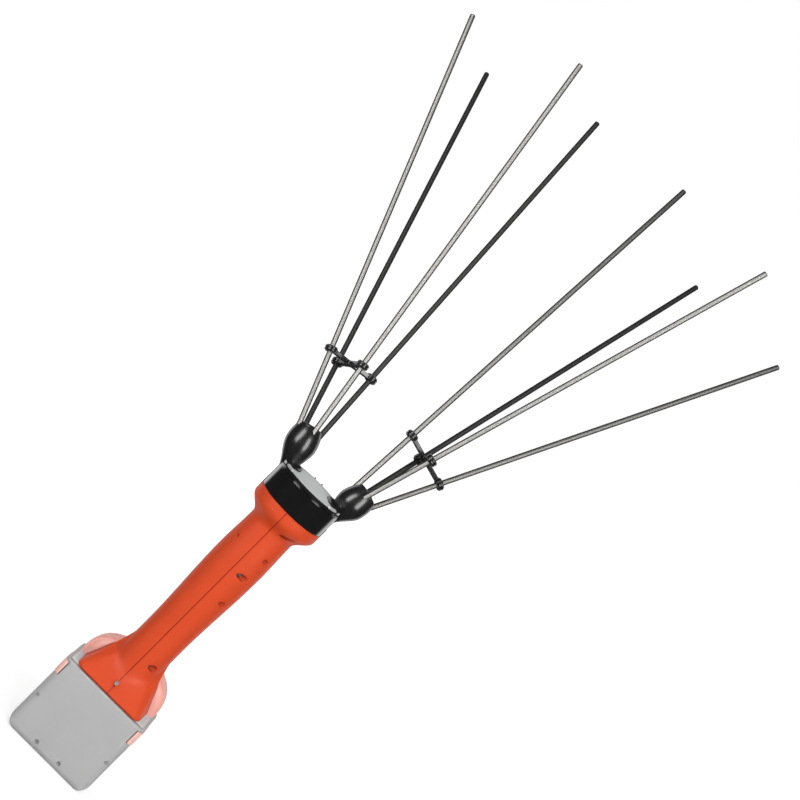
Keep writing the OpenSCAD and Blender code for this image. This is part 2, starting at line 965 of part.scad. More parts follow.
module rod(i, s) {
    color("#3c3c3b")
        rod_place(i, s) {
            translate([0, 0, -15]) cylinder(r = rod_d / 2, h = rod_l + 15 - rod_d / 2);
            translate([0, 0, rod_l - rod_d / 2]) sphere(r = rod_d / 2);
        }
}

module left_rod_1() { left_place() rod(1, -1); }
module left_rod_2() { left_place() rod(2, -1); }
module left_rod_3() { left_place() rod(3, -1); }
module left_rod_4() { left_place() rod(4, -1); }
module right_rod_1() { right_place() rod(1, 1); }
module right_rod_2() { right_place() rod(2, 1); }
module right_rod_3() { right_place() rod(3, 1); }
module right_rod_4() { right_place() rod(4, 1); }

// X-shaped spider with a ring on each rod
module spacer(at, s) {
    ring_r = 4.6;
    ring_h = 5.5;
    splay = s < 0 ? left_splay : right_splay;
    spread = rod_circle_r + at * sin(splay);
    up = (s < 0 ? left_reach : right_reach) + at * cos(splay);
    color("#1c1c1c")
        difference() {
            union() {
                for (i = [1:4])
                    rod_place(i, s)
                    translate([0, 0, at - ring_h / 2])
                        cylinder(r = ring_r, h = ring_h);
                translate([0, 0, up - 1.6])
                    linear_extrude(3.2)
                    spider_outline(spread, s);
            }
            for (i = [1:4])
                rod_place(i, s)
                translate([0, 0, at - 20]) cylinder(r = rod_d / 2 + 0.03, h = 40);
        }
}

// Four webs with a row of holes meeting in a small hub
module spider_outline(spread, s) {
    difference() {
        union() {
            circle(5);
            for (i = [1:4])
                rotate(rod_angle(i, s)) translate([0, -3.2]) square([spread, 6.4]);
        }
        for (i = [1:4])
            rotate(rod_angle(i, s))
                for (k = [0:3])
                    translate([6.2 + k * (spread - 12.6) / 3, 0]) circle(1.3);
    }
}

module left_spacer() { left_place() spacer(left_spacer_at, -1); }
module right_spacer() { right_place() spacer(right_spacer_at, 1); }

// Battery

// Outer form of the pack, set in by an even amount
module battery_form(inset) {
    w = battery_w - 2 * inset;
    d = battery_d - 2 * inset;
    h = battery_h - 2 * inset;
    intersection() {
        translate([0, d, inset])
            rotate([90, 0, 0])
            linear_extrude(2 * d)
            round_rect(w, h, battery_base_r - inset, 2.2 - min(inset, 1.4));
        translate([0, -d / 2, 0])
            linear_extrude(2 * battery_h)
            round_rect(w, d, battery_edge - inset, battery_edge - inset);
        translate([-w, 0, inset])
            rotate([90, 0, 90])
            linear_extrude(2 * w)
            round_rect(d, h, battery_toe_r - inset, 1.8 - min(inset, 1.2));
    }
}

case_screws_at = [
    [-(battery_w / 2 - case_boss_in), cell_z0 + cell_pitch + 5.8],
    [battery_w / 2 - case_boss_in, cell_z0 + cell_pitch + 5.8],
    [-low_screw_x, cell_z0 - 5],
    [low_screw_x, cell_z0 - 5]
];

module battery_shell() {
    difference() {
        union() {
            difference() {
                battery_form(0);
                battery_form(battery_wall);
            }
            intersection() {
                battery_form(1);
                for (p = case_screws_at)
                    along_y(p[0], p[1]) cylinder(r = case_boss_r, h = battery_d, center = true);
            }
            translate([-tower_w / 2, -tower_d / 2, battery_h - battery_wall])
                cube([tower_w, tower_d, tower_h + battery_wall]);
        }
        translate([-tower_w / 2 + 2, -tower_d / 2 + 2, battery_h - 10])
            cube([tower_w - 4, tower_d - 4, tower_h + 8]);
        for (s = [-1, 1])
            translate([s * blade_x - blade_t / 2 - 0.1, -blade_w / 2 - 0.1, battery_h])
                cube([blade_t + 0.2, blade_w + 0.2, 40]);
        for (p = case_screws_at)
            along_y(p[0], p[1]) {
                translate([0, 0, -battery_d]) cylinder(r = case_screw_r + 0.05, h = battery_d + 10);
                translate([0, 0, -battery_d - battery_d / 2 + 3.2])
                    cylinder(r = 2.05, h = battery_d);
            }
        for (s = [-1, 1])
            button_pocket(s);
    }
}

module button_pocket(s) {
    depth = button_t + button_travel + 0.3;
    translate([s > 0 ? battery_w / 2 + button_proud - depth : -60, -button_y - 0.3, button_z - 0.3])
        cube([60 - battery_w / 2 - button_proud + depth, button_l + 0.6, button_h + 0.6]);
}

module battery_front() {
    color("#b4b4b4")
        intersection() {
            battery_shell();
            translate([-100, -100, -10]) cube([200, 100, 200]);
        }
}

module battery_rear() {
    color("#b4b4b4")
        intersection() {
            battery_shell();
            translate([-100, 0, -10]) cube([200, 100, 200]);
        }
}

module battery_screws() {
    color("#6a6a6a")
        for (p = case_screws_at)
            along_y(p[0], p[1]) {
                translate([0, 0, -battery_d / 2 + 3]) cylinder(r = case_screw_r, h = battery_d / 2 + 5);
                translate([0, 0, -battery_d / 2 + 1.4]) cylinder(r = 2, h = 1.8);
            }
}

module battery_cells() {
    color("#3f6f9c")
        for (row = [0:cell_rows - 1], x = cell_spots(row))
            along_y(x, cell_z0 + row * cell_pitch)
                cylinder(d = cell_d, h = cell_l, center = true);
}

module battery_board() {
    color("#2f6b3a")
        translate([-board_w / 2, -board_d / 2, board_z]) cube([board_w, board_d, board_t]);
}

module battery_terminals() {
    color("#c9a24a")
        for (s = [-1, 1])
            translate([s * blade_x - blade_t / 2, -blade_w / 2, board_z + board_t])
                cube([blade_t, blade_w, battery_h + blade_up - board_z - board_t]);
}

module button(s) {
    color("#e09a84")
        intersection() {
            battery_form(-button_proud);
            translate([s > 0 ? battery_w / 2 + button_proud - button_t : -60, -button_y, button_z])
                cube([60 - battery_w / 2 - button_proud + button_t, button_l, button_h]);
        }
}

module left_button() { button(-1); }
module right_button() { button(1); }

// Bent strips that push the release buttons out
module button_springs() {
    color("#b8babc")
        for (s = [-1, 1])
            translate([s * (battery_w / 2 + button_proud - button_t - button_travel - 0.6), 0, 0])
                mirror([s > 0 ? 0 : 1, 0, 0])
                translate([-6, -button_y + 6, board_z + board_t])
                union() {
                    translate([5.4, 0, 0]) cube([0.6, 12, button_z + button_h - 4 - board_z - board_t]);
                    translate([-6, 0, 0]) cube([12, 12, 0.6]);
                }
}

left_handle_shell();
right_handle_shell();
battery_dock();
foot_pin();
shell_screws();
status_lamp();
head_frame();
head_collar();
head_cap();
slot_seals();
pivot_pins();
gear_housing();
gearbox_cover();
crank_bearings();
motor_plate();
motor_can();
motor_end_bell();
motor_magnets();
motor_bushes();
switch_body();
trigger_spring();
controller_board();
wiring();
dock_terminals();
planet_carrier();
planet_pins();
crankshaft();
planet_gear_1();
planet_gear_2();
planet_gear_3();
motor_shaft();
motor_armature();
sun_pinion();
left_lever();
left_arm();
left_rod_1();
left_rod_2();
left_rod_3();
left_rod_4();
left_spacer();
right_lever();
right_arm();
right_rod_1();
right_rod_2();
right_rod_3();
right_rod_4();
right_spacer();
trigger();
battery_front();
battery_rear();
battery_screws();
battery_cells();
battery_board();
battery_terminals();
button_springs();
left_button();
right_button();
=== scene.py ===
import json
import math
import bpy
import bmesh
from mathutils import Matrix, Vector


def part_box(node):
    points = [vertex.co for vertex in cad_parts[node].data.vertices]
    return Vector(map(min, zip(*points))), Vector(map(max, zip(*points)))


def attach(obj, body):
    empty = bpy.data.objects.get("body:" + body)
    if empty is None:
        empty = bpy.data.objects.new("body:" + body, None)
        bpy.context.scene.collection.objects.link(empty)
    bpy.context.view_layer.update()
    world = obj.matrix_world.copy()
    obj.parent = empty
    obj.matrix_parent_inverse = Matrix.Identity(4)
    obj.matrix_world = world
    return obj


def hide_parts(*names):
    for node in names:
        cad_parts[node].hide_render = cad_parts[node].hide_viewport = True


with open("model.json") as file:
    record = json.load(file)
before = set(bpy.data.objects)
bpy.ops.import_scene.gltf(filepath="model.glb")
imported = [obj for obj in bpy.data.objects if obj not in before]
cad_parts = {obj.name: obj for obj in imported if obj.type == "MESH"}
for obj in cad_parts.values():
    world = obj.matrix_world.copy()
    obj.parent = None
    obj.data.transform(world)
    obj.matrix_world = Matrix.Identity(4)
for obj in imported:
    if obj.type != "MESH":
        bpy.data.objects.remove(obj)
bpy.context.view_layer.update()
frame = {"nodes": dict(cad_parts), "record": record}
print("frame loaded:", len(frame["nodes"]), "nodes")

# Camera

viewpoint = {
    "target": (-0.0001, 0.0, 0.4241),
    "distance": 2.0,
    "elevation": 6.41,   # degrees above level at the target
    "roll": 45.0,        # the tool leans to the upper right of the frame
    "lens": 108.0,
    "sensor": 36.0,
    "clip": (0.05, 200.0),
}


def addObject(name, data):
    thing = bpy.data.objects.new(name, data)
    bpy.context.scene.collection.objects.link(thing)
    return thing


def makeCamera(size):
    tilt, roll = math.radians(size["elevation"]), math.radians(size["roll"])
    back = Vector((0, -math.cos(tilt), math.sin(tilt)))
    right = Vector((1, 0, 0))
    up = Vector((0, math.sin(tilt), math.cos(tilt)))
    camRight = right * math.cos(roll) + up * math.sin(roll)
    camUp = up * math.cos(roll) - right * math.sin(roll)
    turn = Matrix((camRight, camUp, back)).transposed().to_4x4()
    data = bpy.data.cameras.new("photoCamera")
    data.lens, data.sensor_width = size["lens"], size["sensor"]
    data.clip_start, data.clip_end = size["clip"]
    camera = addObject("photoCamera", data)
    camera.matrix_world = Matrix.Translation(Vector(size["target"]) + back * size["distance"]) @ turn
    bpy.context.scene.camera = camera


makeCamera(viewpoint)
bpy.context.scene.view_settings.view_transform = "Standard"
print("camera placed")


class Field:
    # a socket that takes part in plain sums; every sum adds a Math node
    def __init__(self, finish, socket):
        self.finish, self.socket = finish, socket

    def sum(self, operation, other, swap=False):
        first, second = (other, self) if swap else (self, other)
        return self.finish.node("ShaderNodeMath", {"operation": operation}, {0: first, 1: second})

    def __add__(self, other):
        return self.sum("ADD", other)

    def __radd__(self, other):
        return self.sum("ADD", other, True)

    def __sub__(self, other):
        return self.sum("SUBTRACT", other)

    def __rsub__(self, other):
        return self.sum("SUBTRACT", other, True)

    def __mul__(self, other):
        return self.sum("MULTIPLY", other)

    def __rmul__(self, other):
        return self.sum("MULTIPLY", other, True)


class Finish:
    # a node tree with one method that adds any node
    def __init__(self, tree):
        self.tree = tree

    def fill(self, made, sockets):
        # a socket takes a value, a link or a list of links
        for key, value in sockets.items():
            links = value if isinstance(value, list) else [value]
            if isinstance(links[0], Field):
                for link in links:
                    self.tree.links.new(link.socket, made.inputs[key])
            else:
                made.inputs[key].default_value = value

    def node(self, kind, settings, sockets, output=0):
        made = self.tree.nodes.new(kind)
        for key, value in settings.items():
            setattr(made, key, value)
        self.fill(made, sockets)
        return Field(self, made.outputs[output]) if made.outputs else None

    def given(self, label):
        return self.node("NodeGroupInput", {}, {}, label)

    def place(self):
        return self.node("ShaderNodeTexCoord", {}, {}, "Object")

    def part(self, axis, vector=None):
        return self.node("ShaderNodeSeparateXYZ", {}, {"Vector": vector or self.place()}, axis)

    def positive(self, value):
        return self.node("ShaderNodeMath", {"operation": "ABSOLUTE"}, {0: value})

    def noise(self, scale, detail, rough, place=None):
        return self.node("ShaderNodeTexNoise", {}, {
            "Vector": place or self.place(), "Scale": scale, "Detail": detail, "Roughness": rough})

    def stretched(self, factors):
        return self.node("ShaderNodeMapping", {}, {"Vector": self.place(), "Scale": factors})

    def mix(self, factor, first, second):
        return self.node("ShaderNodeMix", {"data_type": "RGBA", "clamp_factor": True},
                         {0: factor, 6: first, 7: second}, 2)

    def between(self, value, low, high):
        return self.node("ShaderNodeMapRange", {"clamp": True},
                         {"Value": value, "From Min": low, "From Max": high})


# Studio

studio = {
    "ambient": 0.30,             # level of the room on plain surfaces
    "frontGloss": 0.07,          # what mirrors see of the room in front of the tool
    "rimGloss": 1.7,             # and of the white wings behind it
    "rimRise": (0.54, 0.68),     # cosines between which the wings come up
    "rimFall": (0.85, 0.92),     # and go down again
    "floorTone": 0.5,
    "floorSpread": 0.03,
    "floorGrain": (3.0, 2.0, 0.5),
    "floorBounce": 0.72,         # what the floor gives back to the tool
    "floorGlow": (0.60, 0.86),   # near the tool and far from it
    "floorReach": 2.4,
    "floorHalf": 30.0,
    "lamps": {                   # place, width, height, watts, lights plain surfaces, shows in gloss
        "leftBox": ((-1.1, -1.25, 1.22), 0.5, 1.2, 9.0, True, False),
        "rightBox": ((1.1, -1.25, 1.2), 0.5, 1.2, 14.0, True, False),
        "frontBox": ((0.25, -1.9, 1.35), 0.7, 0.7, 17.0, True, False),
        "leftStrip": ((-1.1, -1.25, 1.05), 0.75, 1.5, 36.0, False, True),
        "rightStrip": ((1.1, -1.25, 1.05), 0.75, 1.5, 36.0, False, True),
        "backBox": ((-0.3, 1.9, 1.3), 0.8, 0.8, 12.0, True, False),
        "topBox": ((0.0, 0.25, 2.2), 1.2, 0.9, 5.0, True, True),
    },
    "aim": (0.0, 0.0, 0.32),
}


def grey(level):
    return (level, level, level, 1.0)


def rayKind(finish, *kinds):
    total = 0.0
    for kind in kinds:
        total = finish.node("ShaderNodeLightPath", {}, {}, kind) + total
    return finish.node("ShaderNodeClamp", {}, {"Value": total})


def wingGloss(finish, ray, size):
    # dim in front of the tool, bright from the white wings behind it
    level = finish.node("ShaderNodeVectorMath", {"operation": "NORMALIZE"}, {0: ray})
    away = finish.part("Y", level)
    wings = finish.between(away, *size["rimRise"]) * (1.0 - finish.between(away, *size["rimFall"]))
    return wings * (size["rimGloss"] - size["frontGloss"]) + size["frontGloss"]


def makeWorld(size):
    world = bpy.data.worlds.new("whiteRoom")
    world.use_nodes = True
    world.node_tree.nodes.clear()
    bpy.context.scene.world = world
    room = Finish(world.node_tree)
    ray = room.node("ShaderNodeTexCoord", {}, {}, "Generated")
    gloss = wingGloss(room, ray, size)
    plain = room.node("ShaderNodeBackground", {}, {"Color": grey(1.0), "Strength": size["ambient"]})
    shine = room.node("ShaderNodeBackground", {}, {"Color": grey(1.0), "Strength": gloss})
    paper = room.node("ShaderNodeBackground", {}, {"Color": grey(1.0), "Strength": 1.0})
    lit = room.node("ShaderNodeMixShader", {}, {0: rayKind(room, "Is Glossy Ray"), 1: plain, 2: shine})
    seen = rayKind(room, "Is Camera Ray", "Is Transmission Ray")
    both = room.node("ShaderNodeMixShader", {}, {0: seen, 1: lit, 2: paper})
    room.node("ShaderNodeOutputWorld", {}, {"Surface": both})


def makeFloor(size):
    paper = bpy.data.materials.new("paleFloor")
    paper.use_nodes = True
    paper.node_tree.nodes.clear()
    floor = Finish(paper.node_tree)
    grain = floor.noise(*size["floorGrain"])
    tone = floor.mix(grain, grey(size["floorTone"]), grey(size["floorTone"] + size["floorSpread"]))
    lit = floor.node("ShaderNodeBsdfDiffuse", {}, {"Color": tone})
    far = floor.node("ShaderNodeVectorMath", {"operation": "LENGTH"}, {0: floor.place()}, 1)
    near, beyond = size["floorGlow"]
    level = floor.between(far, 0.0, size["floorReach"]) * (beyond - near) + near
    glow = floor.node("ShaderNodeEmission", {}, {"Color": grey(1.0), "Strength": level})
    pale = floor.node("ShaderNodeAddShader", {}, {0: lit, 1: glow})
    bounce = floor.node("ShaderNodeBsdfDiffuse", {}, {"Color": grey(size["floorBounce"])})
    wings = wingGloss(floor, floor.place(), size)
    shine = floor.node("ShaderNodeEmission", {}, {"Color": grey(1.0), "Strength": wings})
    glossy = rayKind(floor, "Is Glossy Ray")
    plain = floor.node("ShaderNodeMixShader", {}, {0: glossy, 1: bounce, 2: shine})
    seen = rayKind(floor, "Is Camera Ray", "Is Transmission Ray")
    shown = floor.node("ShaderNodeMixShader", {}, {0: seen, 1: plain, 2: pale})
    floor.node("ShaderNodeOutputMaterial", {}, {"Surface": shown})
    half = size["floorHalf"]
    corners = [(-half, -half, 0), (half, -half, 0), (half, half, 0), (-half, half, 0)]
    mesh = bpy.data.meshes.new("studioFloor")
    mesh.from_pydata(corners, [], [(0, 1, 2, 3)])
    mesh.materials.append(paper)
    sheet = addObject("studioFloor", mesh)


def makeLamps(size):
    aim = Vector(size["aim"])
    for name, (place, width, height, watts, plain, gloss) in size["lamps"].items():
        data = bpy.data.lights.new(name, "AREA")
        data.shape, data.size, data.size_y, data.energy = "RECTANGLE", width, height, watts
        lamp = addObject(name, data)
        lamp.location = place
        lamp.visible_diffuse, lamp.visible_glossy = plain, gloss
        lamp.rotation_mode = "QUATERNION"
        lamp.rotation_quaternion = (Vector(place) - aim).to_track_quat("Z", "Y")


makeWorld(studio)
makeFloor(studio)
makeLamps(studio)
print("studio lit:", len(studio["lamps"]), "lamps")

# Finishes, one for each material slot of the record and a few for single pieces


def startFinish(name, fixed):
    material = bpy.data.materials.new(name)
    material.use_nodes = True
    finish = Finish(material.node_tree)
    finish.material = material
    finish.shader = material.node_tree.nodes["Principled BSDF"]
    finish.fill(finish.shader, fixed)
    return finish


def shade(red, green, blue):
    # an sRGB colour as the linear one that shaders take
    def linear(c):
        c = c / 255
        return c / 12.92 if c <= 0.04045 else ((c + 0.055) / 1.055) ** 2.4
    return (linear(red), linear(green), linear(blue), 1.0)


def scaled(colour, factor):
    return tuple(min(1.0, c * factor) for c in colour[:3]) + (1.0,)


plastics = {   # colour, roughness, spread of roughness, grain per metre, grain depth, coat, shine
    "orange_shell": (shade(210, 70, 27), 0.50, 0.10, 1500, 0.06, 0.0, 0.22),
    "pale_dock": (shade(234, 170, 158), 0.42, 0.08, 1500, 0.08, 0.0, 0.3),
    "pale_button": (shade(246, 194, 184), 0.42, 0.08, 1500, 0.08, 0.0, 0.3),
    "gloss_black": (shade(17, 17, 17), 0.12, 0.04, 900, 0.03, 0.4, 0.5),
    "cap_grey": (shade(186, 187, 187), 0.5, 0.10, 1400, 0.06, 0.0, 0.12),
    "soft_black": (shade(26, 26, 26), 0.40, 0.12, 1800, 0.12, 0.0, 0.5),
    "matte_black": (shade(32, 32, 33), 0.52, 0.10, 2200, 0.20, 0.0, 0.5),
    "holder_black": (shade(26, 27, 26), 0.26, 0.06, 1100, 0.02, 0.1, 0.5),
    "spacer_black": (shade(26, 26, 27), 0.22, 0.06, 1600, 0.05, 0.2, 0.5),
    "battery_grey": (shade(176, 176, 176), 0.44, 0.10, 1700, 0.12, 0.0, 0.25),
    "board_green": (shade(44, 110, 62), 0.45, 0.08, 1200, 0.06, 0.1, 0.5),
    "lead_red": (shade(165, 36, 30), 0.42, 0.08, 1500, 0.06, 0.0, 0.5),
    "cell_wrap": (shade(64, 110, 158), 0.30, 0.06, 900, 0.04, 0.2, 0.5),
    "magnet_dark": (shade(70, 70, 72), 0.40, 0.10, 1400, 0.10, 0.0, 0.5),
    "battery_screw": (shade(160, 160, 160), 0.46, 0.08, 1400, 0.06, 0.0, 0.3),
    # pale grey lips as a painted glint on the glossy black rim
    "lip_painted_glint": (shade(170, 170, 170), 0.24, 0.04, 900, 0.02, 0.3, 0.5),
    # grey seal, darker than the cap, as a painted soft shadow round the arms' feet
    "seal_shadow_grey": (shade(128, 129, 129), 0.5, 0.08, 1400, 0.06, 0.0, 0.12),
    "foot_stud": (shade(158, 150, 144), 0.44, 0.08, 1400, 0.06, 0.0, 0.3),
    "lamp_lens": (shade(70, 26, 16), 0.12, 0.04, 700, 0.02, 0.5, 0.5),
}

moulding = {   # what all mouldings share; patterns are scale, detail and roughness
    "cloud": (26.0, 4.0, 0.55),       # slow drift of the colour
    "handled": (90.0, 5.0, 0.62),     # rubbed patches
    "speck": (2.0, 0.6),              # fine spark-eroded grain, at each finish's own scale
    "speckRange": (0.62, 0.8),
    "speckShare": 0.25,
    "tints": (0.92, 1.07, 1.25),      # dark and light side of the drift, specks
    "grainHigh": 0.0004,
    "edge": 0.0007,                   # rounding of the edges as light sees them
    "edgeSamples": 4,
    "coatRough": 0.08,
    "refraction": 1.48,
}

dockPlate = {   # the dock's plate is grey below the pale hood, made lighter as painted light on its upward face
    "top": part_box("battery_dock")[0][2] + 0.0016,
    "blend": 0.0004,
    # lighter grey as painted light on the plate's top face
    "colour": shade(204, 204, 204),
}

capSideShade = {   # painted shade: the cap's side is black up to its top face
    "low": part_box("head_cap")[1][2] - 0.0005,
    "high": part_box("head_cap")[1][2] - 0.0001,
    "colour": shade(20, 20, 20),
}

sealEdge = {   # the seals turn black towards the two ends of the cap
    "across": (0.0180, 0.0205),
    "colour": shade(20, 20, 20),
}

partingLine = {   # where the two handle shells meet
    "half": 0.0002,
    "fade": 0.0006,
    "strength": 0.25,
    "deep": 0.0005,
    "colour": shade(140, 24, 6),
}

pockets = {   # shaded walls of the five screw pockets in the right shell
    "room": 0.0005,
    "fade": 0.0003,
    "across": (0.001, 0.002),   # they begin this far right of the parting line
    "colour": shade(112, 28, 12),
}

screwHeads = {
    "facing": 0.99,     # cosine to the way the heads look
    "apart": 0.0068,    # corners closer than this belong to one head
}


def headSpots(node, outward):
    # middle and radius of the screw heads that face outward
    groups = []
    for face in node.data.polygons:
        if face.normal.dot(outward) > screwHeads["facing"]:
            for corner in face.vertices:
                place = node.data.vertices[corner].co
                near = [g for g in groups if (g[0] - place).length < screwHeads["apart"]]
                if near:
                    near[0].append(place)
                else:
                    groups.append([place])
    spots = []
    for group in groups:
        low = Vector([min(p[k] for p in group) for k in range(3)])
        high = Vector([max(p[k] for p in group) for k in range(3)])
        spots.append(((low + high) / 2, (high.z - low.z) / 2))
    return sorted(spots, key=lambda spot: spot[0].z)


def partingMask(finish, size):
    off = finish.positive(finish.part("X"))
    return 1.0 - finish.between(off, size["half"], size["fade"])


def pocketMask(finish, size):
    spot = finish.place()
    total = 0.0
    for place, radius in headSpots(frame["nodes"]["shell_screws"], Vector((1, 0, 0))):
        flat = finish.node("ShaderNodeVectorMath", {"operation": "MULTIPLY"}, {0: spot, 1: (0, 1, 1)})
        middle = (0, place.y, place.z)
        far = finish.node("ShaderNodeVectorMath", {"operation": "DISTANCE"}, {0: flat, 1: middle}, 1)
        edge = radius + size["room"]
        total = (1.0 - finish.between(far, edge - size["fade"], edge)) + total
    return total * finish.between(finish.part("X", spot), *size["across"])


def shellTint(finish, tint):
    tint = finish.mix(partingMask(finish, partingLine), tint, partingLine["colour"])
    return finish.mix(pocketMask(finish, pockets), tint, pockets["colour"])


def dockTint(finish, tint):
    top = dockPlate["top"]
    above = finish.between(finish.part("Z"), top, top + dockPlate["blend"])
    return finish.mix(above, dockPlate["colour"], tint)


def sealTint(finish, tint):
    across = finish.positive(finish.part("X"))
    return finish.mix(finish.between(across, *sealEdge["across"]), tint, sealEdge["colour"])


# paints the cap's side black as painted shade below its top face
def capShadeTint(finish, tint):
    above = finish.between(finish.part("Z"), capSideShade["low"], capSideShade["high"])
    return finish.mix(above, capSideShade["colour"], tint)


ownTints = {"orange_shell": shellTint, "pale_dock": dockTint, "seal_shadow_grey": sealTint, "cap_grey": capShadeTint}


def makePlastic(name, colour, rough, spread, grain, depth, coat, shine):
    finish = startFinish(name, {
        "Coat Weight": coat, "Coat Roughness": moulding["coatRough"],
        "IOR": moulding["refraction"], "Specular IOR Level": shine})
    cloud = finish.noise(*moulding["cloud"])
    speck = finish.noise(grain, *moulding["speck"])
    handled = finish.noise(*moulding["handled"])
    dark, light, bright = [scaled(colour, factor) for factor in moulding["tints"]]
    tint = finish.mix(cloud, dark, light)
    specks = finish.between(speck, *moulding["speckRange"]) * moulding["speckShare"]
    tint = finish.mix(specks, tint, bright)
    if name in ownTints:
        tint = ownTints[name](finish, tint)
    edge = finish.node("ShaderNodeBevel", {"samples": moulding["edgeSamples"]}, {"Radius": moulding["edge"]})
    relief = finish.node("ShaderNodeBump", {}, {
        "Strength": depth, "Distance": moulding["grainHigh"], "Height": speck, "Normal": edge})
    if name == "orange_shell":
        relief = finish.node("ShaderNodeBump", {"invert": True}, {
            "Strength": partingLine["strength"], "Distance": partingLine["deep"],
            "Height": partingMask(finish, partingLine), "Normal": relief})
    finish.fill(finish.shader, {
        "Base Color": tint,
        "Roughness": (handled - 0.5) * (2 * spread) + rough,
        "Normal": relief,
    })
    return finish.material


metals = {   # colour, roughness, spread of roughness, scratches per metre, direction stretch
    "bright_steel": (shade(198, 200, 202), 0.26, 0.12, 900, (1, 1, 0.08)),
    "dark_screw": (shade(104, 104, 104), 0.36, 0.14, 1200, (1, 1, 1)),
    "cast_alloy": (shade(176, 178, 180), 0.42, 0.16, 1400, (1, 1, 1)),
    "gear_steel": (shade(150, 151, 153), 0.32, 0.14, 1100, (1, 1, 0.2)),
    "brass_metal": (shade(204, 168, 92), 0.28, 0.14, 1000, (1, 1, 0.3)),
    "motor_steel": (shade(172, 174, 177), 0.34, 0.12, 1000, (1, 1, 0.06)),
    "copper_winding": (shade(186, 112, 66), 0.34, 0.12, 1600, (0.1, 0.1, 1)),
}

brushing = {   # what all metals share
    "metallic": 0.7,
    "line": (3.0, 0.65),           # detail and roughness of the scratches
    "cloud": (60.0, 4.0, 0.6),
    "tints": (0.82, 1.08),
    "strength": 0.08,
    "deep": 0.0003,
    "edge": 0.0005,
    "edgeSamples": 4,
}


def makeMetal(name, colour, rough, spread, scratch, stretch):
    finish = startFinish(name, {"Metallic": brushing["metallic"]})
    line = finish.noise(scratch, *brushing["line"], finish.stretched(stretch))
    cloud = finish.noise(*brushing["cloud"])
    dark, light = [scaled(colour, factor) for factor in brushing["tints"]]
    edge = finish.node("ShaderNodeBevel", {"samples": brushing["edgeSamples"]}, {"Radius": brushing["edge"]})
    relief = finish.node("ShaderNodeBump", {}, {
        "Strength": brushing["strength"], "Distance": brushing["deep"], "Height": line, "Normal": edge})
    finish.fill(finish.shader, {
        "Base Color": finish.mix(cloud, dark, light),
        "Roughness": (line - 0.5) * (2 * spread) + rough,
        "Normal": relief,
    })
    return finish.material


rodFinish = {
    "dark": shade(18, 18, 18),
    # silver of the painted highlight on the rods, partly their own bright finish
    "silverSheen": shade(178, 177, 173),
    "rough": (0.5, 0.36),      # of the dark rods and of the silver ones
    "roughSpread": 0.06,
    "metallic": 0.2,
    "shine": 0.15,
    "drift": 34.0,             # slow change of tone per metre of rod
    "driftDetail": 2.0,
    # how much the painted highlight drifts along a rod
    "driftShare": 0.12,
    "flank": (0.52, 0.965),    # how squarely a face looks to front or back as the painted highlight comes up
    "drawn": (380.0, 2.0, 0.5),
    "strength": 0.02,
    "deep": 0.0001,
}


def makeRodFinish(name, size):
    # drawn rod with its own tone and a painted highlight where a face looks to the front or back, varying
    # unevenly along its length
    finish = startFinish(name, {"Specular IOR Level": size["shine"]})
    tone = finish.node("ShaderNodeAttribute", {"attribute_name": "tone"}, {}, "Fac")
    along = finish.node("ShaderNodeAttribute", {"attribute_name": "along"}, {}, "Fac")
    alongDrift = finish.node("ShaderNodeTexNoise", {"noise_dimensions": "1D"}, {
        "W": (along + tone) * size["drift"], "Scale": 1.0, "Detail": size["driftDetail"]}) - 0.5
    drawn = finish.noise(*size["drawn"]) - 0.5
    faces = finish.node("ShaderNodeTexCoord", {}, {}, "Normal")
    # painted highlight: silver where a face looks to the front or back, dark towards the rod's edges
    lit = finish.between(finish.positive(finish.part("Y", faces)), *size["flank"])
    highlightShare = tone * lit * lit
    relief = finish.node("ShaderNodeBump", {}, {
        "Strength": size["strength"], "Distance": size["deep"], "Height": drawn})
    dull, clear = size["rough"]
    finish.fill(finish.shader, {
        "Base Color": finish.mix(highlightShare + alongDrift * highlightShare * size["driftShare"], size["dark"], size["silverSheen"]),
        "Metallic": tone * size["metallic"],
        "Roughness": tone * (clear - dull) + (drawn * size["roughSpread"] + dull),
        "Normal": relief,
    })
    return finish.material


finishes = {}
for slot, values in plastics.items():
    finishes[slot] = makePlastic(slot, *values)
for slot, values in metals.items():
    finishes[slot] = makeMetal(slot, *values)
finishes["rod_graphite"] = makeRodFinish("rod_graphite", rodFinish)

# the seals take the grey painted shadow finish
ownFinish = {"battery_screws": "battery_screw", "foot_pin": "foot_stud", "slot_seals": "seal_shadow_grey"}

for subpart in frame["record"]["subparts"]:
    node = frame["nodes"][subpart["node"]]
    material = finishes[ownFinish.get(subpart["node"], subpart["material_slot"])]
    if not node.material_slots:
        node.data.materials.append(material)
    for place in node.material_slots:
        place.material = material
print("finishes made:", len(finishes))

# Geometry Nodes trees


def startTree(name, inputs):
    tree = bpy.data.node_groups.new(name, "GeometryNodeTree")
    for label, kind in inputs.items():
        tree.interface.new_socket(label, in_out="INPUT", socket_type=kind)
    tree.interface.new_socket("Mesh", in_out="OUTPUT", socket_type="NodeSocketGeometry")
    return Finish(tree)


def endTree(work, mesh, finish):
    mesh = work.node("GeometryNodeRealizeInstances", {}, {"Geometry": mesh})
    mesh = work.node("GeometryNodeSetMaterial", {}, {"Geometry": mesh, "Material": finish})
    work.node("NodeGroupOutput", {}, {"Mesh": mesh})
    return work.tree


